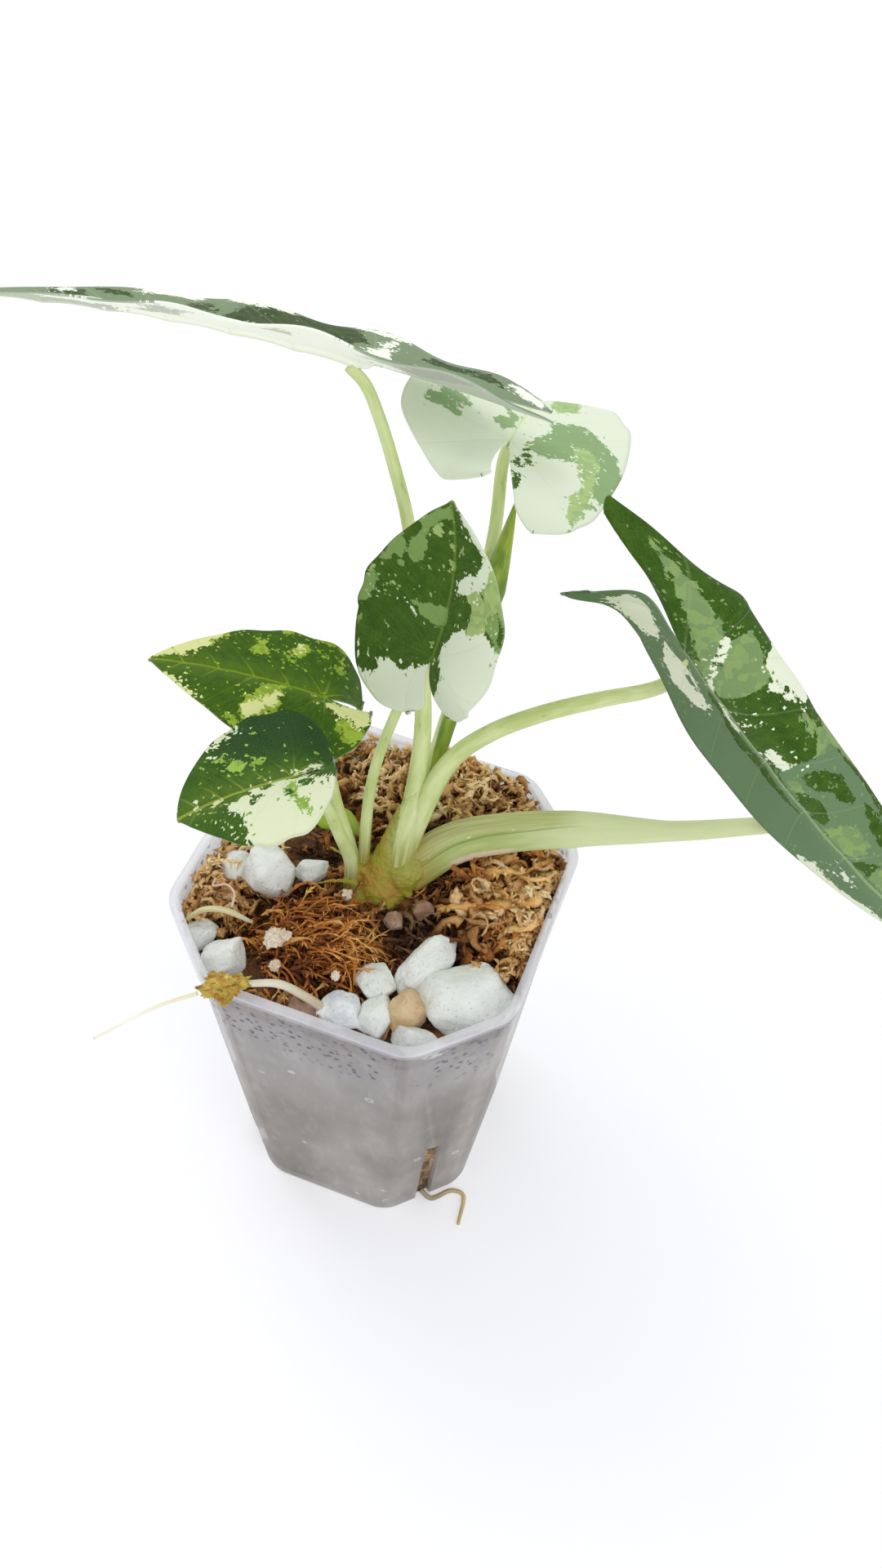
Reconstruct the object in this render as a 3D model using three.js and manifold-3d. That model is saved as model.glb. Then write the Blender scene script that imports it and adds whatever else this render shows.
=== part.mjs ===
// Potted frydek alocasia: a young variegated plant in a small cloudy plastic pot.
// Millimetres, +Z up. The origin is the middle of the pot's underside, and X and Y run along the pot's sides.
import * as THREE from "three";
import { mergeVertices } from "three/addons/utils/BufferGeometryUtils.js";
import Module from "manifold-3d";

// Pot: a square cup with cut corners
const POT_HEIGHT = 102;
const POT_TOP = 80; // over the rim lip
const POT_BOTTOM = 61;
const TOP_CORNER = 16.5; // leg of the cut corner
const BOTTOM_CORNER = 15;
const LIP_HEIGHT = 2.6;
const LIP_OUT = 1;
const WALL = 1.2;
const FLOOR = 1.4;
const SLOT_WIDTH = 4;
const SLOT_HEIGHT = 42;
const SLOT_REACH = 3.5; // how far a drainage slot runs in under the floor

// Moss bed and crown
const FILL = 95;
const MOUND = 9; // rise of the moss towards the back
const CROWN_AT = [0.5, 3.5, 93.5];
const CROWN_RADIUS = 7.2;

// How quickly the notch between the back lobes opens, as a power: small for lobes that nearly touch
const OPEN_NOTCH = 0.5;
const CLOSED_NOTCH = 0.2;

// Thickness of a leaf blade, the air left between separate pieces, and the shortest edge that a cut may leave
const BLADE = 0.7;
const GAP = 0.3;
const SHORTEST_EDGE = 0.02;

// Steps along each half of a midrib, and how far under the blade its stalk turns up to it (times root length)
const STATIONS = 48;
const APPROACH = 0.45;

// Direction in which the flattened sheaths show their broad side
const FRONT = new THREE.Vector3(0.19, -0.61, 0.77);

// Half-width of a blade along its length, from the tips of the back lobes (0) to the apex (1)
const ADULT = [[0, 0.5], [0.02, 0.66], [0.08, 0.84], [0.2, 0.97], [0.32, 1],
  [0.5, 0.9], [0.68, 0.66], [0.82, 0.4], [0.92, 0.18], [1, 0]];
const YOUNG = [[0, 0.5], [0.02, 0.68], [0.08, 0.86], [0.2, 0.98], [0.32, 1],
  [0.5, 0.93], [0.7, 0.7], [0.85, 0.42], [0.94, 0.2], [1, 0]];

// Each leaf: where its stalk meets the blade, the way the midrib heads (compass angle, rise and roll, degrees),
// its length from there to the apex, half-width and back-lobe length, and how the sheet is bent.
// Pairs are for the left and the right half, seen from above with the apex ahead.
const LEAVES = {
  left: {
    shape: ADULT, at: [-23.6, 45.2, 198.3], turn: [-171, 9, 31], length: 80, half: 28, lobe: 38.5,
    bend: 14, lobeBend: 5, fold: [10, 7], curl: [0, 0], twist: -4, sweep: 1,
    splay: [0, 0], drop: [0, 0], wave: 0.9,
  },
  back: {
    shape: ADULT, at: [2.5, 63.9, 174.6], turn: [94, -13, 10], length: 83.5, half: 24.5, lobe: 30,
    bend: 44, lobeBend: -22, fold: [11, 5], curl: [-7, -12], twist: -21, sweep: -7,
    splay: [-0.4, 0.03], drop: [6, 7], wave: 0.8,
  },
  right: {
    shape: ADULT, at: [51.6, 26.2, 167.1], turn: [-8, -45, 96], length: 92.5, half: 22.5, lobe: 24,
    bend: 8, lobeBend: 53, fold: [18, -44], curl: [-170, 31], twist: -42, sweep: 11,
    splay: [-0.09, 1.34], drop: [-21, 3], wave: 0.5,
  },
  outer: {
    shape: ADULT, at: [112, 48, 121], turn: [25, -58, 20], length: 70, half: 19, lobe: 22,
    bend: 20, lobeBend: 10, fold: [8, 8], curl: [-14, -14], twist: 0, sweep: 4,
    splay: [0.05, 0.05], drop: [2, 2], wave: 0.6,
  },
  centre: {
    shape: YOUNG, at: [6.6, 10.1, 163.1], turn: [69, 62, -54], length: 33, half: 20, lobe: 11,
    bend: -29, lobeBend: 54, fold: [48, -18], curl: [9, -9], twist: 29, sweep: -27,
    splay: [0, 0], drop: [0, 0], wave: 0.3,
  },
  upper: {
    shape: YOUNG, at: [-16.1, 8.9, 143.3], turn: [-166, 19, 15], length: 36, half: 18.8, lobe: 9.4,
    bend: 17, lobeBend: 1, fold: [7, 3], curl: [-38, 3], twist: 4, sweep: -1,
    splay: [0, 0], drop: [-3.7, 4.7], wave: 0.3,
  },
  lower: {
    shape: YOUNG, at: [-8.4, -21.9, 155.7], turn: [-148, -11, 23], length: 22.8, half: 19, lobe: 7.8,
    bend: 11, lobeBend: 10, fold: [12, 13], curl: [-34, 3], twist: -13, sweep: 11,
    splay: [0, 0], drop: [-4.3, 4.7], wave: 0.3,
  },
};

// Leaf stalks: points from the crown up to just under the blade, radius at the foot and at the top
const STALKS = {
  left: {
    route: [[2.5, 7, 99], [1.5, 21, 126], [-4, 30.5, 150.5], [-9.5, 37.5, 169], [-13.8, 40.6, 178.9],
      [-18.5, 43.3, 188.4], [-21.9, 44.4, 194.2]],
    direct: true,
    radii: [2.3, 2.1, 1.8, 1.6, 1.4, 1.3, 1.2],
  },
  right: {
    route: [[3, 4, 97], [4, 11, 108], [8.5, 20.5, 122], [14.5, 26, 127.5], [24, 32, 132], [36, 39, 135], [43.5, 43, 136.5],
      [47.5, 43, 140.5], [50, 39.5, 149]],
    direct: true,
    radii: [2.9, 2.7, 2, 1.9, 1.8, 1.6, 1.4, 1.3],
  },
  outer: {
    route: [[4.5, 5, 98.5], [13.5, 12.5, 105], [25, 17.5, 108.5], [39.5, 22, 111.5], [58, 27.5, 113.5], [84, 37, 118]],
    radii: [5, 4.6, 4.1, 2.3, 1.9, 1.5, 1.3],
    flat: [0.5, 0.45, 0.45, 0.8, 1, 1, 1],
  },
  back: {
    route: [[2, 12, 96], [4, 26, 120], [5, 38, 139], [4.5, 52, 160]],
    radii: [2.1, 1.8, 1.5, 1.3],
  },
  centre: {
    route: [[-4.5, 2, 96], [-6.5, 12, 117], [-3.5, 17.5, 135], [1.5, 17, 150]],
    direct: true,
    radii: [1.4, 1.2, 1.1, 1],
  },
  upper: {
    route: [[-6, 3, 95], [-8.3, 3.4, 105.3], [-11.4, 4.3, 115.9], [-13.9, 5.7, 126.9]],
    direct: true,
    radii: [1.6, 1.4, 1.2, 1],
  },
  lower: {
    route: [[-6.5, 0, 94], [-5.8, -1.3, 105], [-6.5, -5.6, 119.9], [-7.6, -10.3, 134.7], [-8.9, -16.2, 146.1]],
    direct: true,
    radii: [1.6, 1.5, 1.3, 1.1, 1],
  },
};

// Rolled new leaf, sprout leaf and its stalk, runner and roots
const NEW_LEAF = {
  route: [[3.5, 17, 104], [5, 27, 124], [7, 37, 144], [8.5, 44.5, 160], [9, 50, 171]],
  radii: [1.9, 1.7, 1.9, 2.2, 0.35],
};
const SPROUT = {
  route: [[-6.5, 12, 93.5], [-9, 12.2, 97], [-13.3, 12.5, 99.7], [-17.5, 11.2, 101], [-22, 11.5, 101.5]],
  radii: [0.7, 0.8, 2.6, 3, 0.5],
  flat: [1, 0.9, 0.3, 0.25, 0.7],
};
const RUNNER = {
  route: [[2.5, -32.5, 95.5], [-3, -33, 99.5], [-8, -34, 102.5], [-13.5, -37.5, 104.6]],
  radii: [1.1, 1, 0.9, 0.7],
};
const ROOTS = {
  root_hanging: {
    route: [[-21.6, -43.6, 105], [-28, -48.4, 103.5], [-34, -53.4, 100.5], [-39, -57, 97]],
    radii: [0.45, 0.4, 0.35, 0.35],
  },
  root_top: {
    route: [[-34.5, -24.2, 98.2], [-31, -22.6, 101.4], [-27, -21.2, 101.6], [-21.5, -19, 97]],
    radii: [0.5, 0.7, 0.7, 0.4],
  },
  root_foot: {
    route: [[22.2, -22.2, 3], [25.4, -22.6, 1], [29.6, -18.6, 0.8], [32.8, -18.6, 0.8], [34.4, -26.5, 0.6]],
    radii: [0.7, 0.65, 0.6, 0.45],
  },
};
const BUD_AT = [-17.3, -40.6, 105.4];

// Top dressing: centre, half-sizes, turn about Z and tilt in degrees
const STONES = {
  stone_back_left: { at: [-23, -6.5, 98.5], size: [6.8, 5.6, 7], turn: 20, tilt: 15 },
  stone_far_left: { at: [-32, -6, 95.5], size: [4.6, 4.4, 3.8], turn: 70, tilt: 5 },
  stone_crown_left: { at: [-15.2, -1.5, 97], size: [3.6, 3, 3.2], turn: 40, tilt: 20 },
  stone_left: { at: [-24, -29, 95], size: [5, 4.2, 4], turn: 60, tilt: 10 },
  stone_left_edge: { at: [-31, -24.5, 94.5], size: [3.4, 3.6, 3], turn: 15, tilt: 30 },
  stone_mid: { at: [8.3, -22.2, 96], size: [5, 3.8, 4.2], turn: -15, tilt: 25 },
  stone_long: { at: [17.6, -14.6, 96.2], size: [7, 4, 4.3], turn: 62, tilt: -10 },
  stone_big: { at: [28.2, -19, 95.5], size: [9.6, 7, 5.4], turn: 12, tilt: 8 },
  stone_tan: { at: [17.4, -26.6, 95.2], size: [4.6, 4, 4.4], turn: 80, tilt: 5 },
  stone_pale: { at: [11.6, -29.6, 95.2], size: [4.8, 3.6, 4.2], turn: 75, tilt: 15 },
  stone_grey: { at: [4.4, -31.4, 95.6], size: [4.6, 4.2, 4], turn: -30, tilt: 10 },
  stone_front: { at: [21.8, -31.6, 94.4], size: [5.2, 2.8, 3.6], turn: 8, tilt: 0 },
  stone_pink: { at: [11.4, -1.6, 97], size: [2.3, 1.9, 2], turn: 30, tilt: 0 },
  stone_brown: { at: [6.6, -6.6, 96.4], size: [2.2, 1.9, 1.8], turn: 90, tilt: 0 },
  stone_rust: { at: [-3.4, -32.2, 93.6], size: [3.4, 3, 3], turn: 0, tilt: 10 },
};

const wasm = await Module();
wasm.setup();
const { Manifold, Mesh: Net } = wasm;

const plant = new THREE.Group();
plant.name = "potted_frydek_alocasia";
const deg = THREE.MathUtils.degToRad;

const look = {
  plastic: { color: 0xb9b3ae, roughness: 0.35 },
  moss: { color: 0x9a6a35, roughness: 1 },
  leaf: { color: 0x4b7a2a, roughness: 0.6 },
  stalk: { color: 0xa9bd70, roughness: 0.5 },
  stone: { color: 0xe3e4df, roughness: 0.9 },
  tan: { color: 0xc9a878, roughness: 0.9 },
  root: { color: 0xd8cf9c, roughness: 0.6 },
  papery: { color: 0xa07a35, roughness: 0.9 },
};

function solid(geometry) {
  const bare = new THREE.BufferGeometry();
  bare.setAttribute("position", geometry.getAttribute("position"));
  bare.setIndex(geometry.index);
  const merged = mergeVertices(bare, 1e-3);
  return new Manifold(new Net({
    numProp: 3,
    vertProperties: merged.attributes.position.array,
    triVerts: new Uint32Array(merged.index.array),
  }));
}

// The largest body of a solid: a cut can leave crumbs
function largest(body) {
  const bodies = body.decompose();
  return bodies.reduce((a, b) => (b.volume() > a.volume() ? b : a));
}

function add(name, body, kind) {
  const net = body.asOriginal().simplify(SHORTEST_EDGE).getMesh();
  const count = net.numVert;
  const points = new Float32Array(count * 3);
  for (let i = 0; i < count; i++) {
    points.set(net.vertProperties.subarray(i * net.numProp, i * net.numProp + 3), i * 3);
  }
  const geometry = new THREE.BufferGeometry();
  geometry.setAttribute("position", new THREE.BufferAttribute(points, 3));
  geometry.setIndex(new THREE.BufferAttribute(net.triVerts, 1));
  geometry.computeVertexNormals();
  const mesh = new THREE.Mesh(geometry, new THREE.MeshStandardMaterial({ ...look[kind], metalness: 0 }));
  mesh.name = name;
  plant.add(mesh);
}

// A closed solid through rings of points, each ring with as many points, capped at both ends
function loft(rings) {
  const n = rings[0].length;
  const points = rings.flat();
  const faces = [];
  for (let r = 0; r + 1 < rings.length; r++) {
    for (let i = 0; i < n; i++) {
      const a = r * n + i;
      const b = r * n + (i + 1) % n;
      faces.push(a, b, b + n, a, b + n, a + n);
    }
  }
  const last = (rings.length - 1) * n;
  for (let i = 1; i + 1 < n; i++) {
    faces.push(0, i + 1, i, last, last + i, last + i + 1);
  }
  const geometry = new THREE.BufferGeometry().setFromPoints(points);
  geometry.setIndex(faces);
  return solid(geometry);
}

// Pot
const bodyTop = POT_TOP - 2 * LIP_OUT;
function potWidth(z) {
  return POT_BOTTOM + (bodyTop - POT_BOTTOM) * z / POT_HEIGHT;
}
function potCorner(z) {
  return BOTTOM_CORNER + (TOP_CORNER - BOTTOM_CORNER) * z / POT_HEIGHT;
}
// Eight corners of the cup's outline at height z, moved in by a distance (out if it is negative)
function octagon(z, inset) {
  const h = potWidth(z) / 2 - inset;
  const k = potWidth(z) / 2 - potCorner(z) - inset * (Math.SQRT2 - 1);
  const ring = [[h, -k], [h, k], [k, h], [-k, h], [-h, k], [-h, -k], [-k, -h], [k, -h]];
  return ring.map(([x, y]) => new THREE.Vector3(x, y, z));
}
function slot() {
  const shape = new THREE.Shape();
  const half = SLOT_WIDTH / 2;
  shape.moveTo(-half, -1);
  shape.lineTo(half, -1);
  shape.lineTo(half, SLOT_HEIGHT - half);
  shape.absarc(0, SLOT_HEIGHT - half, half, 0, Math.PI, false);
  const reach = (POT_BOTTOM - BOTTOM_CORNER) / Math.SQRT2;
  const geometry = new THREE.ExtrudeGeometry(shape, {
    depth: SLOT_REACH + 4, bevelEnabled: false, curveSegments: 6,
  });
  geometry.rotateX(Math.PI / 2);
  geometry.translate(0, reach + 4, 0);
  return geometry;
}
const lipFoot = POT_HEIGHT - LIP_HEIGHT;
const cup = loft([
  octagon(0, 0.6), octagon(0.8, 0), octagon(lipFoot, 0),
  octagon(lipFoot + 0.4, -LIP_OUT), octagon(POT_HEIGHT - 0.5, -LIP_OUT), octagon(POT_HEIGHT, -LIP_OUT + 0.4),
]);
const inside = loft([octagon(FLOOR, WALL), octagon(POT_HEIGHT + 5, WALL)]);
let pot = cup.subtract(inside);
for (let corner = 0; corner < 4; corner++) {
  pot = pot.subtract(solid(slot().rotateZ(deg(45 + 90 * corner))));
}
add("pot", pot, "plastic");

// A number between -1 and 1 that varies smoothly over the plane, for lumps in the moss
function lumps(x, y) {
  const broad = Math.sin(0.21 * x + 1.3) * Math.cos(0.19 * y - 0.6);
  const fine = Math.sin(0.55 * x - 0.4 * y) * Math.cos(0.47 * y + 0.3 * x + 2);
  return 0.6 * broad + 0.4 * fine;
}
function hill(x, y, px, py, radius) {
  return Math.exp(-((x - px) ** 2 + (y - py) ** 2) / radius ** 2);
}
function mossTop(x, y) {
  const back = MOUND * hill(x, y, 8, 27, 17);
  const tuft = 5.5 * hill(x, y, -6, -16, 11);
  const right = 4.5 * hill(x, y, 27, 3, 12);
  const left = 2.5 * hill(x, y, -31, -12, 9);
  const foot = 2.5 * hill(x, y, 0, 3, 8);
  return FILL - 2.5 + back + tuft + right + left + foot + 1.3 * lumps(x, y);
}
// The ground under the moss's top surface, as a block with a hilly lid
function mossBlock() {
  const cells = 21;
  const span = POT_TOP;
  const geometry = new THREE.BoxGeometry(span, span, 2, cells, cells, 1);
  const at = geometry.getAttribute("position");
  for (let i = 0; i < at.count; i++) {
    const top = at.getZ(i) > 0;
    at.setZ(i, top ? mossTop(at.getX(i), at.getY(i)) : -5);
  }
  return solid(geometry);
}

// A stone or lump: the smooth hull of a few random planes, as a radius in each direction
function seeded(seed) {
  let state = seed * 7919 + 17;
  return () => {
    state = (state * 16807) % 2147483647;
    return state / 2147483647;
  };
}
function stoneBody(stone, seed, grow) {
  const random = seeded(seed);
  const planes = [];
  for (let i = 0; i < 13; i++) {
    const lift = (2 * i + 1) / 13 - 1;
    const round = i * 2.4 + 0.9 * random();
    const flat = Math.sqrt(1 - lift * lift);
    planes.push([flat * Math.cos(round), flat * Math.sin(round), lift, 0.82 + 0.2 * random()]);
  }
  const geometry = new THREE.IcosahedronGeometry(1, 2);
  const at = geometry.getAttribute("position");
  const v = new THREE.Vector3();
  for (let i = 0; i < at.count; i++) {
    v.fromBufferAttribute(at, i).normalize();
    let sum = 0;
    for (const [x, y, z, h] of planes) sum += Math.max(0, (v.x * x + v.y * y + v.z * z) / h) ** 9;
    const radius = sum ** (-1 / 9);
    const [sx, sy, sz] = stone.size;
    at.setXYZ(i, v.x * (radius * sx + grow), v.y * (radius * sy + grow), v.z * (radius * sz + grow));
  }
  geometry.rotateX(deg(stone.tilt));
  geometry.rotateZ(deg(stone.turn));
  geometry.translate(...stone.at);
  return solid(geometry);
}

// A stalk or root: a round or flattened tube that tapers along a curve
function pointOn(list, t) {
  const x = t * (list.length - 1);
  const i = Math.min(Math.floor(x), list.length - 2);
  return list[i] + (list[i + 1] - list[i]) * (x - i);
}
function stalkBody({ route, radii, flat = [1, 1] }, grow, steps = 2 * route.length + 2, sides = 7) {
  const curve = new THREE.CatmullRomCurve3(route.map((p) => new THREE.Vector3(...p)), false, "centripetal");
  const rings = [];
  for (let s = 0; s <= steps; s++) {
    const t = s / steps;
    const centre = curve.getPointAt(t);
    const along = curve.getTangentAt(t);
    const broad = new THREE.Vector3().crossVectors(along, FRONT).normalize();
    const thin = new THREE.Vector3().crossVectors(along, broad);
    const radius = pointOn(radii, t);
    const ring = [];
    for (let i = 0; i < sides; i++) {
      const angle = 2 * Math.PI * i / sides;
      ring.push(centre.clone()
        .addScaledVector(broad, (radius + grow) * Math.cos(angle))
        .addScaledVector(thin, (radius * pointOn(flat, t) + grow) * Math.sin(angle)));
    }
    rings.push(ring);
  }
  return loft(rings);
}

// Leaf blade: the half-width at a share s of the way from the lobe tips to the apex, through a smooth curve
function halfWidth(shape, s) {
  const n = shape.length;
  const slope = (i) => (shape[i + 1][1] - shape[i][1]) / (shape[i + 1][0] - shape[i][0]);
  const tangent = (i) => {
    if (i === 0) return slope(0);
    if (i === n - 1) return slope(n - 2);
    const before = shape[i][0] - shape[i - 1][0];
    const after = shape[i + 1][0] - shape[i][0];
    return (slope(i) * before + slope(i - 1) * after) / (before + after);
  };
  let i = 0;
  while (i < n - 2 && s > shape[i + 1][0]) i++;
  const h = shape[i + 1][0] - shape[i][0];
  const t = (s - shape[i][0]) / h;
  return (2 * t ** 3 - 3 * t ** 2 + 1) * shape[i][1] + (t ** 3 - 2 * t ** 2 + t) * h * tangent(i)
    + (3 * t ** 2 - 2 * t ** 3) * shape[i + 1][1] + (t ** 3 - t ** 2) * h * tangent(i + 1);
}

// The midrib as a list of stations, each with its place, sideways direction and upward direction
function midrib(leaf) {
  const [heading, rise, roll] = leaf.turn.map(deg);
  const ahead = new THREE.Vector3(
    Math.cos(rise) * Math.cos(heading), Math.cos(rise) * Math.sin(heading), Math.sin(rise));
  const level = new THREE.Vector3(-Math.sin(heading), Math.cos(heading), 0);
  const over = new THREE.Vector3().crossVectors(ahead, level);
  const side = level.clone().multiplyScalar(Math.cos(roll)).addScaledVector(over, Math.sin(roll));
  const up = over.clone().multiplyScalar(Math.cos(roll)).addScaledVector(level, -Math.sin(roll));
  const steps = STATIONS;
  const walk = (length, bend, sweep, twist, way) => {
    const stations = [];
    const place = new THREE.Vector3(...leaf.at);
    for (let k = 0; k <= steps; k++) {
      const t = k / steps;
      const swing = sweep * t * t;
      const flatAhead = ahead.clone().multiplyScalar(Math.cos(swing)).addScaledVector(side, Math.sin(swing));
      const along = flatAhead.multiplyScalar(Math.cos(bend * t)).addScaledVector(up, -Math.sin(bend * t));
      const across = side.clone().multiplyScalar(Math.cos(swing)).addScaledVector(ahead, -Math.sin(swing));
      const top = new THREE.Vector3().crossVectors(along, across);
      const c = Math.cos(twist * t);
      const s = Math.sin(twist * t);
      stations.push({
        a: way * t * length,
        place: place.clone(),
        side: across.clone().multiplyScalar(c).addScaledVector(top, s),
        up: top.clone().multiplyScalar(c).addScaledVector(across, -s),
      });
      place.addScaledVector(along, way * length / steps);
    }
    return stations;
  };
  const front = walk(leaf.length, deg(leaf.bend), deg(leaf.sweep), deg(leaf.twist), 1);
  const back = walk(leaf.lobe, -deg(leaf.lobeBend), 0, 0, -1);
  return [...back.reverse().slice(0, -1), ...front];
}

// The point of the sheet at distance a along the midrib and b across it
function sheetPoint(leaf, stations, a, b) {
  let i = 0;
  while (i < stations.length - 2 && a > stations[i + 1].a) i++;
  const t = (a - stations[i].a) / (stations[i + 1].a - stations[i].a);
  const mix = (key) => stations[i][key].clone().lerp(stations[i + 1][key], t);
  const right = b < 0 ? 1 : 0;
  const sign = right ? -1 : 1;
  const behind = Math.max(0, -a);
  const across = Math.abs(b) + leaf.splay[right] * behind * behind / leaf.lobe;
  const fold = deg(leaf.fold[right]);
  const curl = Math.abs(leaf.curl[right]) < 0.1 ? 0.002 : deg(leaf.curl[right]);
  const angle = fold + curl * across / leaf.half;
  const out = leaf.half * (Math.sin(angle) - Math.sin(fold)) / curl;
  const edge = Math.min(1, across / leaf.half);
  const ripple = leaf.wave * edge * edge * Math.sin(a * 9 / (leaf.length + leaf.lobe) * Math.PI + 2 * right);
  const drop = leaf.drop[right] * (behind / leaf.lobe) ** 2 * Math.min(1, across / (0.3 * leaf.half));
  const lift = leaf.half * (Math.cos(fold) - Math.cos(angle)) / curl - drop + ripple;
  return mix("place").addScaledVector(mix("side"), sign * out).addScaledVector(mix("up"), lift);
}

// A blade as one closed solid: both halves of the sheet, joined along the midrib, given thickness
function bladeBody(leaf, thickness, lobeRows = 5, rows = 11, columns = 3) {
  const stations = midrib(leaf);
  const notch = leaf.shape === YOUNG ? CLOSED_NOTCH : OPEN_NOTCH;
  const points = [];
  const faces = [];
  const put = (a, b) => points.push(sheetPoint(leaf, stations, a, b)) - 1;
  const shared = [];
  for (const sign of [1, -1]) {
    let before = [put(-leaf.lobe, sign * leaf.half / 2)];
    for (let r = 1; r <= lobeRows + rows; r++) {
      const q = r / lobeRows;
      const t = (r - lobeRows) / rows;
      const a = r < lobeRows ? leaf.lobe * (q * q * (1.6 - 0.6 * q) - 1) : leaf.length * t * (1.15 - 0.15 * t);
      const outer = halfWidth(leaf.shape, Math.min(1, (a + leaf.lobe) / (leaf.length + leaf.lobe))) * leaf.half;
      const inner = a < 0 ? 0.5 * leaf.half * (1 - (1 + a / leaf.lobe) ** notch) : 0;
      const row = [];
      for (let c = 0; c <= columns; c++) {
        if (c === 0 && r >= lobeRows) {
          if (sign === 1) shared[r] = put(a, 1e-9);
          row.push(shared[r]);
        } else if (r < lobeRows + rows) {
          row.push(put(a, sign * (inner + (outer - inner) * c / columns)));
        }
      }
      for (let c = 0; c < columns; c++) {
        const quad = [before[Math.min(c, before.length - 1)], row[Math.min(c, row.length - 1)],
          row[Math.min(c + 1, row.length - 1)], before[Math.min(c + 1, before.length - 1)]];
        const turned = sign === 1 ? quad : [...quad].reverse();
        for (const [i, j, k] of [[0, 1, 2], [0, 2, 3]]) {
          const face = [turned[i], turned[j], turned[k]];
          if (new Set(face).size === 3) faces.push(face);
        }
      }
      before = row;
    }
  }
  return thicken(points, faces, thickness);
}

// Gives an open sheet of triangles a thickness, half of it on each side
function thicken(points, faces, thickness) {
  const normals = points.map(() => new THREE.Vector3());
  const edges = new Map();
  for (const face of faces) {
    const [a, b, c] = face.map((i) => points[i]);
    const normal = b.clone().sub(a).cross(c.clone().sub(a));
    for (let i = 0; i < 3; i++) {
      normals[face[i]].add(normal);
      const from = face[i];
      const to = face[(i + 1) % 3];
      if (edges.has(to + "," + from)) edges.delete(to + "," + from);
      else edges.set(from + "," + to, [from, to]);
    }
  }
  const n = points.length;
  const both = [];
  for (const way of [-0.5, 0.5]) {
    points.forEach((p, i) => both.push(p.clone().addScaledVector(normals[i].clone().normalize(), way * thickness)));
  }
  const index = [];
  for (const [a, b, c] of faces) {
    index.push(a, c, b, a + n, b + n, c + n);
  }
  for (const [from, to] of edges.values()) {
    index.push(from, to, to + n, from, to + n, from + n);
  }
  const geometry = new THREE.BufferGeometry().setFromPoints(both);
  geometry.setIndex(index);
  return solid(geometry);
}

// Crown: the thick base of the plant, with a lower bulge where old roots start
function crownBody(grow) {
  const lump = (x, y, z, sx, sy, sz) => {
    const geometry = new THREE.IcosahedronGeometry(1, 2);
    geometry.scale(sx + grow, sy + grow, sz + grow);
    geometry.translate(CROWN_AT[0] + x, CROWN_AT[1] + y, CROWN_AT[2] + z);
    return solid(geometry);
  };
  const r = CROWN_RADIUS;
  return lump(0, 0, 0, r, r, 1.05 * r)
    .add(lump(-0.6 * r, -0.7 * r, -0.15 * r, 0.6 * r, 0.55 * r, 0.5 * r))
    .add(lump(-0.9 * r, 0, -0.1 * r, 0.6 * r, 0.6 * r, 0.6 * r));
}
add("crown", crownBody(0), "stalk");

// Blades first, then the stalks, each kept clear of what is already there
const blades = Object.fromEntries(Object.entries(LEAVES).map(([name, leaf]) => [name, bladeBody(leaf, BLADE)]));
for (const [name, body] of Object.entries(blades)) add("blade_" + name, body, "leaf");

// The last stretch of a stalk comes up to the blade's midrib from its underside
function fullRoute(name) {
  const leaf = LEAVES[name];
  const stalk = STALKS[name];
  const stations = midrib(leaf);
  const top = sheetPoint(leaf, stations, 1.5, 1e-9);
  const under = top.clone().addScaledVector(stations[STATIONS].up, -APPROACH * leaf.length ** 0.5);
  const end = stalk.direct ? [top.toArray()] : [under.toArray(), top.toArray()];
  return { ...stalk, route: [...stalk.route, ...end] };
}
const shell = loft([octagon(-1, -GAP), octagon(lipFoot - GAP, -GAP), octagon(lipFoot, -LIP_OUT - GAP),
  octagon(POT_HEIGHT + GAP, -LIP_OUT - GAP)])
  .subtract(loft([octagon(FLOOR + GAP, WALL + GAP), octagon(POT_HEIGHT + 5, WALL + GAP)]));
const standing = [crownBody(GAP), shell];
for (const name of Object.keys(STALKS)) {
  const stalk = fullRoute(name);
  let body = stalkBody(stalk, 0).subtract(bladeBody(LEAVES[name], BLADE + 3 * GAP));
  for (const other of standing) body = body.subtract(other);
  add("stalk_" + name, largest(body), "stalk");
  standing.push(stalkBody(stalk, GAP));
}
let newLeaf = stalkBody(NEW_LEAF, 0);
for (const other of standing) newLeaf = newLeaf.subtract(other);
add("new_leaf", largest(newLeaf), "leaf");
standing.push(stalkBody(NEW_LEAF, GAP));

let sprout = stalkBody(SPROUT, 0);
for (const other of standing) sprout = sprout.subtract(other);
add("sprout", largest(sprout), "leaf");
standing.push(stalkBody(SPROUT, GAP));

// Stones, each kept clear of the plant and of the stones before it
Object.entries(STONES).forEach(([name, stone], i) => {
  let body = stoneBody(stone, i + 1, 0);
  for (const other of standing) body = body.subtract(other);
  add(name, largest(body), name === "stone_tan" || name === "stone_rust" ? "tan" : "stone");
  standing.push(stoneBody(stone, i + 1, GAP));
});

// Runner, its dry bud and the loose roots
let runner = stalkBody(RUNNER, 0);
for (const other of standing) runner = runner.subtract(other);
add("runner", largest(runner), "root");
standing.push(stalkBody(RUNNER, GAP));

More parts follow.
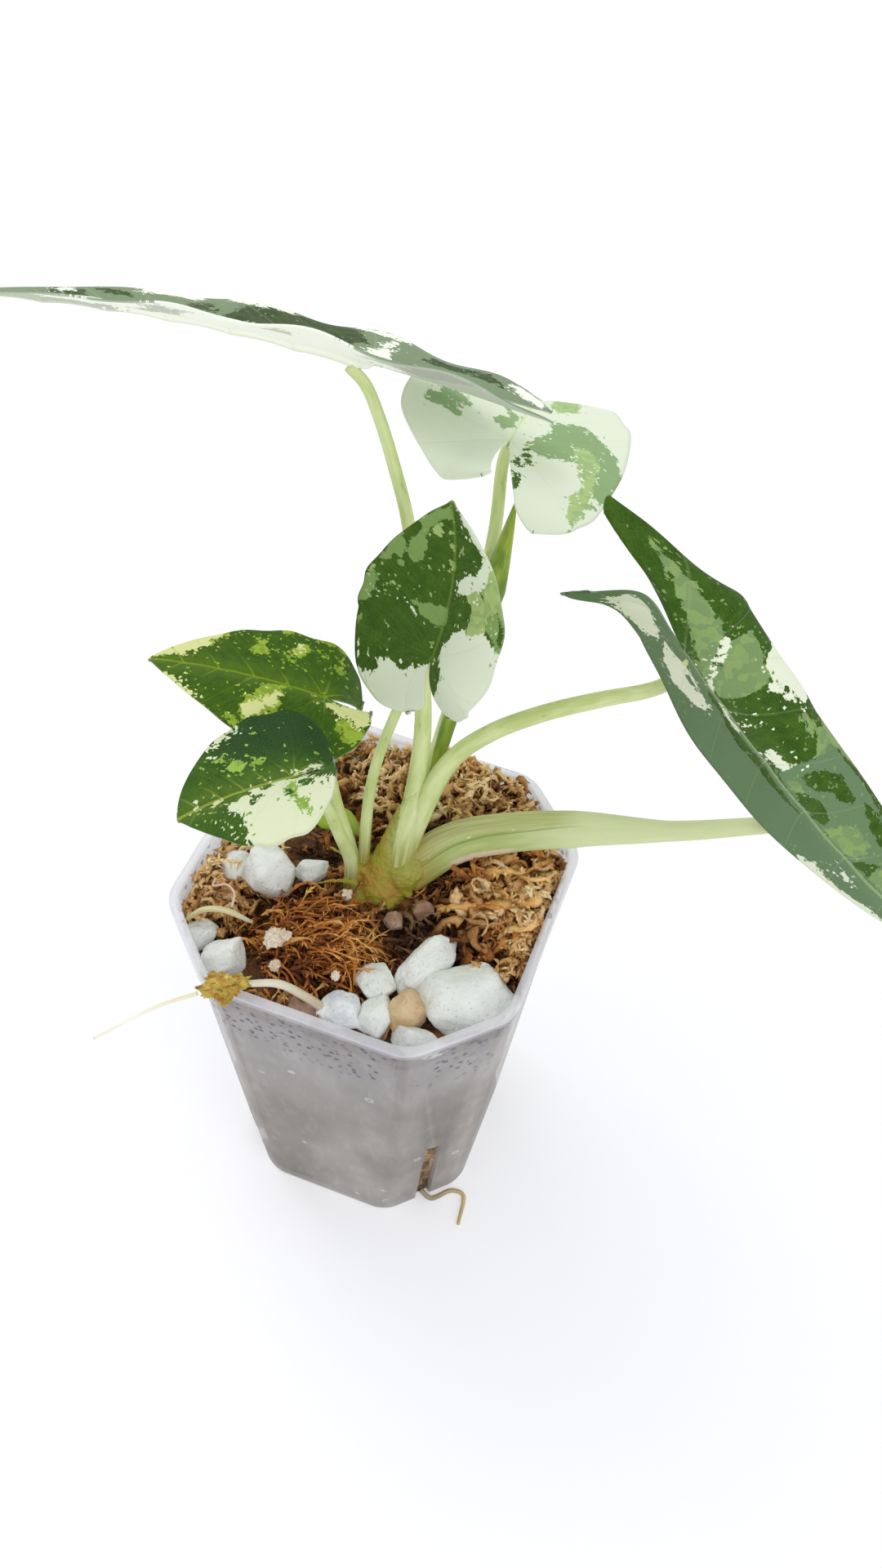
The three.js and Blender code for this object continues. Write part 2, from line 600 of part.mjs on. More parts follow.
function budBody(grow) {
  const scale = (x, y, z, length, width, thick, turn, tilt) => {
    const geometry = new THREE.IcosahedronGeometry(1, 1);
    geometry.scale(length + grow, width + grow, thick + grow);
    geometry.rotateY(deg(tilt));
    geometry.rotateZ(deg(turn));
    geometry.translate(BUD_AT[0] + x, BUD_AT[1] + y, BUD_AT[2] + z);
    return solid(geometry);
  };
  return scale(0, 0, 0, 4.4, 2.2, 1.7, 35, 0)
    .add(scale(1.2, -1.4, 0.4, 3, 1.8, 1.2, 110, 20))
    .add(scale(-1, 1, 0.9, 3.2, 1.6, 1, 0, -15));
}
let bud = budBody(0).subtract(stalkBody(RUNNER, GAP)).subtract(shell);
add("bud", largest(bud), "papery");
standing.push(budBody(GAP));

for (const [name, root] of Object.entries(ROOTS)) {
  let body = stalkBody(root, 0, 12, 6);
  for (const other of standing) if (name !== "root_foot" || other !== shell) body = body.subtract(other);
  add(name, largest(body), "root");
  standing.push(stalkBody(root, GAP, 12, 6));
}

// Moss bed: fills the cup, with a plain hole for everything that stands or lies in it
let moss = loft([octagon(FLOOR + GAP, WALL + GAP), octagon(POT_HEIGHT + 20, WALL + GAP)]).intersect(mossBlock());
for (const other of standing) if (other !== shell) moss = moss.subtract(other);
add("moss_bed", largest(moss), "moss");

export default plant;
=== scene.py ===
"""Potted frydek alocasia: the finish of every piece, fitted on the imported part."""
import math

import bmesh
import bpy
import numpy as np
from mathutils import Matrix, Vector, noise


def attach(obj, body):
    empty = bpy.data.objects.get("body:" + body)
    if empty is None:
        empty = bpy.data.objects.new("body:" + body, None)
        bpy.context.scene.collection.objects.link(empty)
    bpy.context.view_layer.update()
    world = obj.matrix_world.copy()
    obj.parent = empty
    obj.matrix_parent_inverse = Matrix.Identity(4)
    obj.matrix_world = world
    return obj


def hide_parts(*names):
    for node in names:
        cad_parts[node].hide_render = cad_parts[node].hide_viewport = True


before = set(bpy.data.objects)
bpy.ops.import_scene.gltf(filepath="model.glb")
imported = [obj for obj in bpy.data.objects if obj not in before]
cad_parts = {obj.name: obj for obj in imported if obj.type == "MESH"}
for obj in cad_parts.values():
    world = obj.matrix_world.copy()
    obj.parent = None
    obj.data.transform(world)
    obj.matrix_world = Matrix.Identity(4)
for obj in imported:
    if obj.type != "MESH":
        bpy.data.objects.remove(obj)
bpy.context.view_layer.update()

# Pot
# A square cup with cut corners, pressed from thin clear plastic that has gone cloudy with use.
# Its rim is rolled out to a small lip, and each cut corner has a drainage slot from the foot up.
# Every length is in millimetres until its piece is made.
MM = 0.001
POT_HEIGHT = 102
POT_TOP = 78
POT_BOTTOM = 61
TOP_CORNER = 16.5
BOTTOM_CORNER = 15
LIP_HEIGHT = 2.6
LIP_FOOT = POT_HEIGHT - LIP_HEIGHT
LIP_OUT = 1
WALL = 1.2
FLOOR = 1.4
EDGE_ROUND = 3.2
SAME_BEARING = 0.06
SLOT_WIDTH = 4
SLOT_HEIGHT = 42
SLOT_REACH = 3.5
CUTTER_PAST = 4
CUTTER_BELOW = 1

# Height and inset of each ring of the cup: up its rounded foot, over the lip and down inside to the floor.
CUP_PROFILE = [
    (0, 1.6), (0.5, 0.7), (1.5, 0.15), (3, 0), (LIP_FOOT, 0), (LIP_FOOT + 0.4, -LIP_OUT),
    (POT_HEIGHT - 0.5, -LIP_OUT), (POT_HEIGHT, 0.4 - LIP_OUT), (POT_HEIGHT, WALL - 0.3),
    (POT_HEIGHT - 0.4, WALL), (FLOOR, WALL)]


class Wire:
    """The output of a shader node. Sums on wires add Math nodes to the same finish."""

    def __init__(self, finish, socket):
        self.finish = finish
        self.socket = socket

    def math(self, operation, *values):
        return self.finish.node("ShaderNodeMath", {"operation": operation}, dict(enumerate(values)))

    def size(self):
        """The value without its sign."""
        return self.math("ABSOLUTE", self)

    def root(self):
        return self.math("SQRT", self)

    def whole(self):
        """The nearest whole number."""
        return self.math("ROUND", self)

    def __add__(self, other):
        return self.math("ADD", self, other)

    def __radd__(self, other):
        return self.math("ADD", other, self)

    def __sub__(self, other):
        return self.math("SUBTRACT", self, other)

    def __rsub__(self, other):
        return self.math("SUBTRACT", other, self)

    def __mul__(self, other):
        return self.math("MULTIPLY", self, other)

    def __rmul__(self, other):
        return self.math("MULTIPLY", other, self)

    def __gt__(self, other):
        return self.math("GREATER_THAN", self, other)

    def step(self, low, high):
        """0 below low, 1 above high, and a smooth rise between."""
        settings = {"interpolation_type": "SMOOTHSTEP"}
        return self.finish.node("ShaderNodeMapRange", settings, {0: self, 1: low, 2: high})


def ink(red, green, blue):
    """A colour from 0 to 255 as the eye sees it, for a shader socket."""
    return [((c / 255 + 0.055) / 1.055) ** 2.4 if c > 10 else c / 3295 for c in (red, green, blue)] + [1]


class Finish:
    """A material and its nodes. Its colours are given as red, green and blue from 0 to 255."""

    def __init__(self, name):
        self.material = bpy.data.materials.new(name)
        self.material.use_nodes = True
        self.tree = self.material.node_tree
        self.tree.nodes.clear()

    def node(self, kind, settings, inputs, output=0):
        made = self.tree.nodes.new(kind)
        for key, value in settings.items():
            if key == "stops":
                ramp = made.color_ramp.elements
                while len(ramp) < len(value):
                    ramp.new(1)
                for element, (place, colour) in zip(ramp, value):
                    element.position = place
                    element.color = ink(*colour)
            else:
                setattr(made, key, value)
        for key, value in inputs.items():
            if isinstance(value, Wire):
                self.tree.links.new(value.socket, made.inputs[key])
            else:
                made.inputs[key].default_value = value
        return Wire(self, made.outputs[output]) if made.outputs else made

    def mix(self, factor, low, high):
        low, high = (colour if isinstance(colour, Wire) else ink(*colour) for colour in (low, high))
        return self.node("ShaderNodeMix", {"data_type": "RGBA"}, {0: factor, 6: low, 7: high}, 2)

    def ramp(self, factor, stops):
        return self.node("ShaderNodeValToRGB", {"stops": stops}, {"Fac": factor})

    def noise(self, place, scale, detail=4.0, output=0):
        inputs = {"Vector": place, "Scale": scale, "Detail": detail}
        return self.node("ShaderNodeTexNoise", {}, inputs, output)

    def cells(self, place, scale, output="Distance"):
        return self.node("ShaderNodeTexVoronoi", {}, {"Vector": place, "Scale": scale}, output)

    def parts(self, vector):
        split = self.node("ShaderNodeSeparateXYZ", {}, {0: vector})
        return [Wire(self, socket) for socket in split.socket.node.outputs]

    def vector(self, x, y, z):
        return self.node("ShaderNodeCombineXYZ", {}, {0: x, 1: y, 2: z})

    def place(self):
        """The place on the piece, in metres."""
        return self.node("ShaderNodeTexCoord", {}, {}, "Object")

    def millimetres(self):
        """The three parts of the place on the piece."""
        return [part * (1 / MM) for part in self.parts(self.place())]

    def stretched(self, place, scale, turn=0.0):
        return self.node("ShaderNodeMapping", {}, {"Vector": place, "Rotation": (0, 0, turn), "Scale": scale})

    def attribute(self, name):
        return self.node("ShaderNodeAttribute", {"attribute_name": name}, {}, "Vector")

    def bump(self, height, distance, strength=1.0):
        return self.node("ShaderNodeBump", {}, {"Height": height, "Distance": distance, "Strength": strength})

    def surface(self, inputs):
        shader = self.node("ShaderNodeBsdfPrincipled", {}, inputs)
        self.node("ShaderNodeOutputMaterial", {}, {"Surface": shader})
        return self.material


def linked(name, data):
    """An object for the data, in the scene."""
    made = bpy.data.objects.new(name, data)
    bpy.context.scene.collection.objects.link(made)
    return made


def piece(name, bm, material, slot, *nodes):
    """An object in metres from a bmesh in millimetres, riding with the pot in place of its CAD nodes."""
    bmesh.ops.scale(bm, vec=(MM, MM, MM), verts=bm.verts)
    mesh = bpy.data.meshes.new(name)
    bm.to_mesh(mesh)
    bm.free()
    mesh.shade_smooth()
    mesh.materials.append(material)
    made = linked(name, mesh)
    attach(made, "root")
    if nodes:
        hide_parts(*nodes)
    return made


def applied(made):
    """Works the modifiers of a piece into its mesh."""
    graph = bpy.context.evaluated_depsgraph_get()
    mesh = bpy.data.meshes.new_from_object(made.evaluated_get(graph), depsgraph=graph)
    made.modifiers.clear()
    made.data = mesh
    return made


def pot_width(z):
    return POT_BOTTOM + (POT_TOP - POT_BOTTOM) * z / POT_HEIGHT


def pot_ring(z, inset):
    """The eight corners of the cup at height z, moved in by a distance."""
    corner = BOTTOM_CORNER + (TOP_CORNER - BOTTOM_CORNER) * z / POT_HEIGHT
    h = pot_width(z) / 2 - inset
    k = pot_width(z) / 2 - corner - inset * (math.sqrt(2) - 1)
    return [Vector((x, y, z)) for x, y in
            [(h, -k), (h, k), (k, h), (-k, h), (-h, k), (-h, -k), (-k, -h), (k, -h)]]


def bearing(place):
    return math.atan2(place[1], place[0])


def set_ring(face, ring):
    for vert, corner in zip(sorted(face.verts, key=lambda v: bearing(v.co)), sorted(ring, key=bearing)):
        vert.co = corner


def lofted_cup(rings):
    """A closed solid through the rings: one face, extruded from each ring to the next."""
    bm = bmesh.new()
    bmesh.ops.create_circle(bm, segments=8, radius=1, cap_ends=True)
    face = bm.faces[:][0]
    set_ring(face, rings[0])
    for number, ring in enumerate(rings[1:]):
        made = bmesh.ops.extrude_face_region(bm, geom=[face])["geom"]
        if number > 0:
            bmesh.ops.delete(bm, geom=[face], context="FACES_ONLY")
        face = next(g for g in made if isinstance(g, bmesh.types.BMFace))
        set_ring(face, ring)
    bmesh.ops.recalc_face_normals(bm, faces=bm.faces)
    return bm


def rounded_uprights(bm, offset, segments):
    """Rounds the edges that run from ring to ring, which keep their bearing."""
    edges = [e for e in bm.edges if abs(bearing(e.verts[0].co) - bearing(e.verts[1].co)) < SAME_BEARING]
    bmesh.ops.bevel(bm, geom=edges, offset=offset, segments=segments, profile=0.5, affect="EDGES",
                    material=-1, clamp_overlap=True)


def from_slots(x, y):
    """How far a place lies from the two upright planes through the drainage slots."""
    return (x.size() - y.size()).size() * 0.707


def cloudy_plastic():
    """Clouded by scratches and stains, with dark specks in its upper part and a clearer line under the lip.
    The lip has a painted highlight on its upper edge, as have a few bubbles and the outlines of the slots."""
    f = Finish("cloudy plastic")
    place = f.place()
    x, y, height = f.millimetres()
    smear = f.noise(f.stretched(place, (1, 1, 0.6)), 70)
    broad = f.noise(place, 28, 2)
    fine = f.noise(place, 380, 2)
    scuff = f.noise(f.stretched(place, (1, 1, 0.35)), 420)
    cloud = 0.45 * smear.step(0.35, 0.7) + 0.35 * broad.step(0.4, 0.6) + 0.2 * scuff.step(0.5, 0.7)
    band = height.step(70, 84) * (1 - height.step(LIP_FOOT - 0.9, LIP_FOOT - 0.4))
    speck = (1 - f.cells(place, 520).step(0.2, 0.5)) * f.noise(place, 90, 2).step(0.36, 0.5) * band
    # The bright bubble rings are painted highlights.
    bubbles = f.cells(place, 150)
    bubble = (bubbles.step(0.05, 0.12) - bubbles.step(0.12, 0.2)) * f.noise(place, 60, 2).step(0.52, 0.6)
    lip = height.step(LIP_FOOT - 0.2, LIP_FOOT + 0.4)
    # Painted highlight: the bright line along the top edge of the lip.
    line = height.step(POT_HEIGHT - 1.2, POT_HEIGHT - 0.4)
    # The pale outlines beside the slots are painted highlights.
    beside_slot = 1 - (from_slots(x, y) - SLOT_WIDTH / 2 - 0.4).size().step(0, 0.7)
    outline = beside_slot * (1 - height.step(SLOT_HEIGHT, SLOT_HEIGHT + 1.5))
    clear = height.step(91.5, 94.5) * (1 - lip)
    foot = 1 - height.step(1.7, 3)
    colour = f.mix(height.step(30, 92), (168, 162, 152), (194, 190, 189))
    colour = f.mix(cloud * 0.6, colour, (218, 213, 210))
    colour = f.mix(speck, colour, (74, 70, 88))
    colour = f.mix(bubble * 0.5, colour, (240, 240, 244))
    colour = f.mix(lip, colour, (200, 198, 208))
    colour = f.mix(line * 0.8, colour, (246, 246, 252))
    colour = f.mix(outline * 0.15, colour, (236, 236, 238))
    cover = 0.42 + 0.2 * cloud + 0.42 * speck + 0.25 * bubble + 0.2 * line + 0.4 * foot
    return f.surface({
        "Base Color": colour, "Alpha": cover - 0.12 * clear - 0.12 * lip, "Roughness": 0.26 + 0.12 * fine,
        "Normal": f.bump(smear, 0.0004, 0.4), "IOR": 1.45,
    })


shell = lofted_cup([pot_ring(z, inset) for z, inset in CUP_PROFILE])
rounded_uprights(shell, EDGE_ROUND, 5)
pot = piece("cup", shell, cloudy_plastic(), "pot_plastic", "pot")

slots = linked("slots", bpy.data.meshes.new("slots"))
cut_corner = (POT_BOTTOM - BOTTOM_CORNER) / math.sqrt(2)
for corner in range(4):
    cutter = bmesh.new()
    bmesh.ops.create_cube(cutter, size=1)
    bmesh.ops.scale(cutter, vec=(SLOT_REACH + CUTTER_PAST, SLOT_WIDTH, SLOT_HEIGHT + CUTTER_BELOW),
                    verts=cutter.verts)
    bmesh.ops.translate(cutter, verts=cutter.verts, vec=(
        cut_corner + (CUTTER_PAST - SLOT_REACH) / 2, 0, (SLOT_HEIGHT - CUTTER_BELOW) / 2))
    tops = [e for e in cutter.edges if min(v.co.z for v in e.verts) > SLOT_HEIGHT - 1
            and abs(e.verts[0].co.x - e.verts[1].co.x) > 1]
    bmesh.ops.bevel(cutter, geom=tops, offset=SLOT_WIDTH / 2 - 0.05, segments=5, profile=0.5, affect="EDGES",
                    material=-1)
    turn = Matrix.Rotation(math.radians(45 + 90 * corner), 3, "Z")
    bmesh.ops.rotate(cutter, cent=(0, 0, 0), matrix=turn, verts=cutter.verts)
    bmesh.ops.scale(cutter, vec=(MM, MM, MM), verts=cutter.verts)
    cutter.from_mesh(slots.data)
    cutter.to_mesh(slots.data)
    cutter.free()
cut = pot.modifiers.new("slots", "BOOLEAN")
cut.object = slots
cut.solver = "EXACT"
applied(pot)
bpy.data.objects.remove(slots)

# Potting mix
# Moist chunky mix that fills the cup to just under the rim, and shows grey-brown through the cloudy wall.
# Its top is hilly where the moss is heaped: highest behind the plant, with a tuft in front of it.
FILL = 95
GAP = 0.3
BED_LEVEL = FILL - 2.5
BED_GRID = 120
HEAPED = [(9, 8, 27, 17), (5.5, -6, -16, 11), (4.5, 27, 3, 12), (2.5, -31, -12, 9), (2.5, 0, 3, 8)]


def moss_top(x, y):
    """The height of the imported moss: small lumps all over, and the heaps, each with its height, place and
    radius."""
    lumps = 0.6 * math.sin(0.21 * x + 1.3) * math.cos(0.19 * y - 0.6)
    lumps += 0.4 * math.sin(0.55 * x - 0.4 * y) * math.cos(0.47 * y + 0.3 * x + 2)
    heaps = sum(height * math.exp(-((x - at_x) ** 2 + (y - at_y) ** 2) / radius ** 2)
                for height, at_x, at_y, radius in HEAPED)
    return BED_LEVEL + heaps + 1.3 * lumps


def mix_finish():
    """Brown crumbs above, a grey-brown blur behind the wall with painted light at the right, and rust in the
    slots.
    """
    f = Finish("moist mix")
    place = f.place()
    x, y, z = f.millimetres()
    shade = f.parts(f.cells(place, 260, "Color"))[0]
    broad = f.noise(place, 45, 3)
    crumbs = f.noise(place, 900, 5)
    wall = 1 - z.step(88.5, 92.5)
    slot = 1 - (from_slots(x, y) + 3 * z.step(38, 46)).step(1.6, 2.2)
    colour = f.ramp(0.5 * shade + 0.6 * crumbs - 0.05, [
        (0.0, (66, 34, 14)), (0.4, (120, 72, 34)), (0.75, (166, 110, 58)), (1.0, (200, 150, 92))])
    behind = f.ramp(0.2 * shade + 0.8 * broad, [
        (0.2, (106, 98, 86)), (0.5, (130, 121, 106)), (0.8, (154, 145, 128))])
    # Painted light: the mix behind the right side of the wall is made lighter.
    behind = f.mix(0.8 * (x + y).step(-8, 12), behind, (206, 200, 192))
    rust = f.ramp(0.6 * crumbs + 0.4 * shade, [
        (0.25, (64, 44, 26)), (0.45, (120, 88, 52)), (0.6, (160, 128, 90)), (0.8, (206, 186, 156))])
    return f.surface({
        "Base Color": f.mix(wall, colour, f.mix(slot, behind, rust)), "Roughness": 0.95,
        "Normal": f.bump(crumbs + shade, 0.0012),
    })


def down_the_wall(place, low_ring):
    """The place on the low ring straight down the wall from a place on it."""
    ring = [corner.xy for corner in pot_ring(place.z, WALL + GAP)]
    nearest = []
    for i, (start, end) in enumerate(zip(ring, ring[1:] + ring[:1])):
        side = end - start
        share = min(max((place.xy - start).dot(side) / side.length_squared, 0), 1)
        nearest.append(((place.xy - start - side * share).length, i, share))
    _, i, share = min(nearest)
    return low_ring[i].lerp(low_ring[(i + 1) % 8], share)


bed = bmesh.new()
bmesh.ops.create_grid(bed, x_segments=BED_GRID, y_segments=BED_GRID, size=POT_TOP / 2)
for vert in bed.verts:
    crumb = noise.fractal(vert.co * 0.35, 0.6, 2.2, 4)
    vert.co.z = moss_top(vert.co.x, vert.co.y) - 1.2 + 0.9 * crumb
low_ring = pot_ring(FLOOR + GAP, WALL + GAP)
high_ring = pot_ring(POT_HEIGHT, WALL + GAP)
for i in range(8):
    edge = low_ring[(i + 1) % 8] - low_ring[i]
    slope = high_ring[i] - low_ring[i]
    bmesh.ops.bisect_plane(bed, geom=bed.verts[:] + bed.edges[:] + bed.faces[:], plane_co=low_ring[i],
                           plane_no=edge.cross(slope), clear_outer=True)
outer_edges = [e for e in bed.edges if e.is_boundary]
skirt = bmesh.ops.extrude_edge_only(bed, edges=outer_edges)["geom"]
for vert in [g for g in skirt if isinstance(g, bmesh.types.BMVert)]:
    vert.co = down_the_wall(vert.co, low_ring)
bmesh.ops.holes_fill(bed, edges=[e for e in bed.edges if e.is_boundary])
bmesh.ops.recalc_face_normals(bed, faces=bed.faces)
piece("potting_mix", bed, mix_finish(), "mossy_mix", "moss_bed")

# Leaves
# Arrow-shaped blades with two back lobes, velvety above and paler below, joined to their stalks at the notch.
# Each is a mosaic of green, grey-green, pale and cream-white tissue that follows the veins, though two grey
# patches are painted sheen and painted shadow.
OPEN_NOTCH = 0.5
CLOSED_NOTCH = 0.2
STATIONS = 48
LEAF_THICKNESS = 0.45

# Share of the way from the lobe tips to the apex, and share of the half-width there.
ADULT = [(0, 0.5), (0.02, 0.66), (0.08, 0.84), (0.2, 0.97), (0.32, 1), (0.5, 0.9), (0.68, 0.66), (0.82, 0.4),
         (0.92, 0.18), (1, 0)]
YOUNG = [(0, 0.5), (0.02, 0.68), (0.08, 0.86), (0.2, 0.98), (0.32, 1), (0.5, 0.93), (0.7, 0.7), (0.85, 0.42),
         (0.94, 0.2), (1, 0)]

# Where each blade joins its stalk, its heading, rise and roll in degrees, its sizes, and how it is bent,
# folded along the midrib, curled, twisted, swept, splayed, drooped and waved. A pair is for its left and its
# right half.
LEAVES = {
    "left": dict(
        shape=ADULT, at=(-23.6, 45.2, 198.3), turn=(-171, 9, 31), length=80, half=28, lobe=38.5, bend=14,
        lobe_bend=5, fold=(10, 7), curl=(0, 0), twist=-4, sweep=1, splay=(0, 0), drop=(0, 0), wave=0.9),
    "back": dict(
        shape=ADULT, at=(2.5, 63.9, 174.6), turn=(94, -13, 10), length=83.5, half=24.5, lobe=30, bend=44,
        lobe_bend=-22, fold=(11, 5), curl=(-7, -12), twist=-21, sweep=-7, splay=(-0.4, 0.03), drop=(6, 7),
        wave=0.8),
    "right": dict(
        shape=ADULT, at=(51.6, 26.2, 167.1), turn=(-8, -45, 96), length=92.5, half=22.5, lobe=24, bend=8,
        lobe_bend=53, fold=(18, -44), curl=(-170, 31), twist=-42, sweep=11, splay=(-0.09, 1.34),
        drop=(-21, 3), wave=0.5),
    "outer": dict(
        shape=ADULT, at=(112, 48, 121), turn=(25, -58, 20), length=70, half=19, lobe=22, bend=20,
        lobe_bend=10, fold=(8, 8), curl=(-14, -14), twist=0, sweep=4, splay=(0.05, 0.05), drop=(2, 2),
        wave=0.6),
    "centre": dict(
        shape=YOUNG, at=(6.6, 10.1, 163.1), turn=(69, 62, -54), length=33, half=20, lobe=11, bend=-29,
        lobe_bend=54, fold=(48, -18), curl=(9, -9), twist=29, sweep=-27, splay=(0, 0), drop=(0, 0), wave=0.3),
    "upper": dict(
        shape=YOUNG, at=(-16.1, 8.9, 143.3), turn=(-166, 19, 15), length=36, half=18.8, lobe=9.4, bend=17,
        lobe_bend=1, fold=(7, 3), curl=(-38, 3), twist=4, sweep=-1, splay=(0, 0), drop=(-3.7, 4.7), wave=0.3),
    "lower": dict(
        shape=YOUNG, at=(-8.4, -21.9, 155.7), turn=(-148, -11, 23), length=22.8, half=19, lobe=7.8, bend=11,
        lobe_bend=10, fold=(12, 13), curl=(-34, 3), twist=-13, sweep=11, splay=(0, 0), drop=(-4.3, 4.7),
        wave=0.3),
}

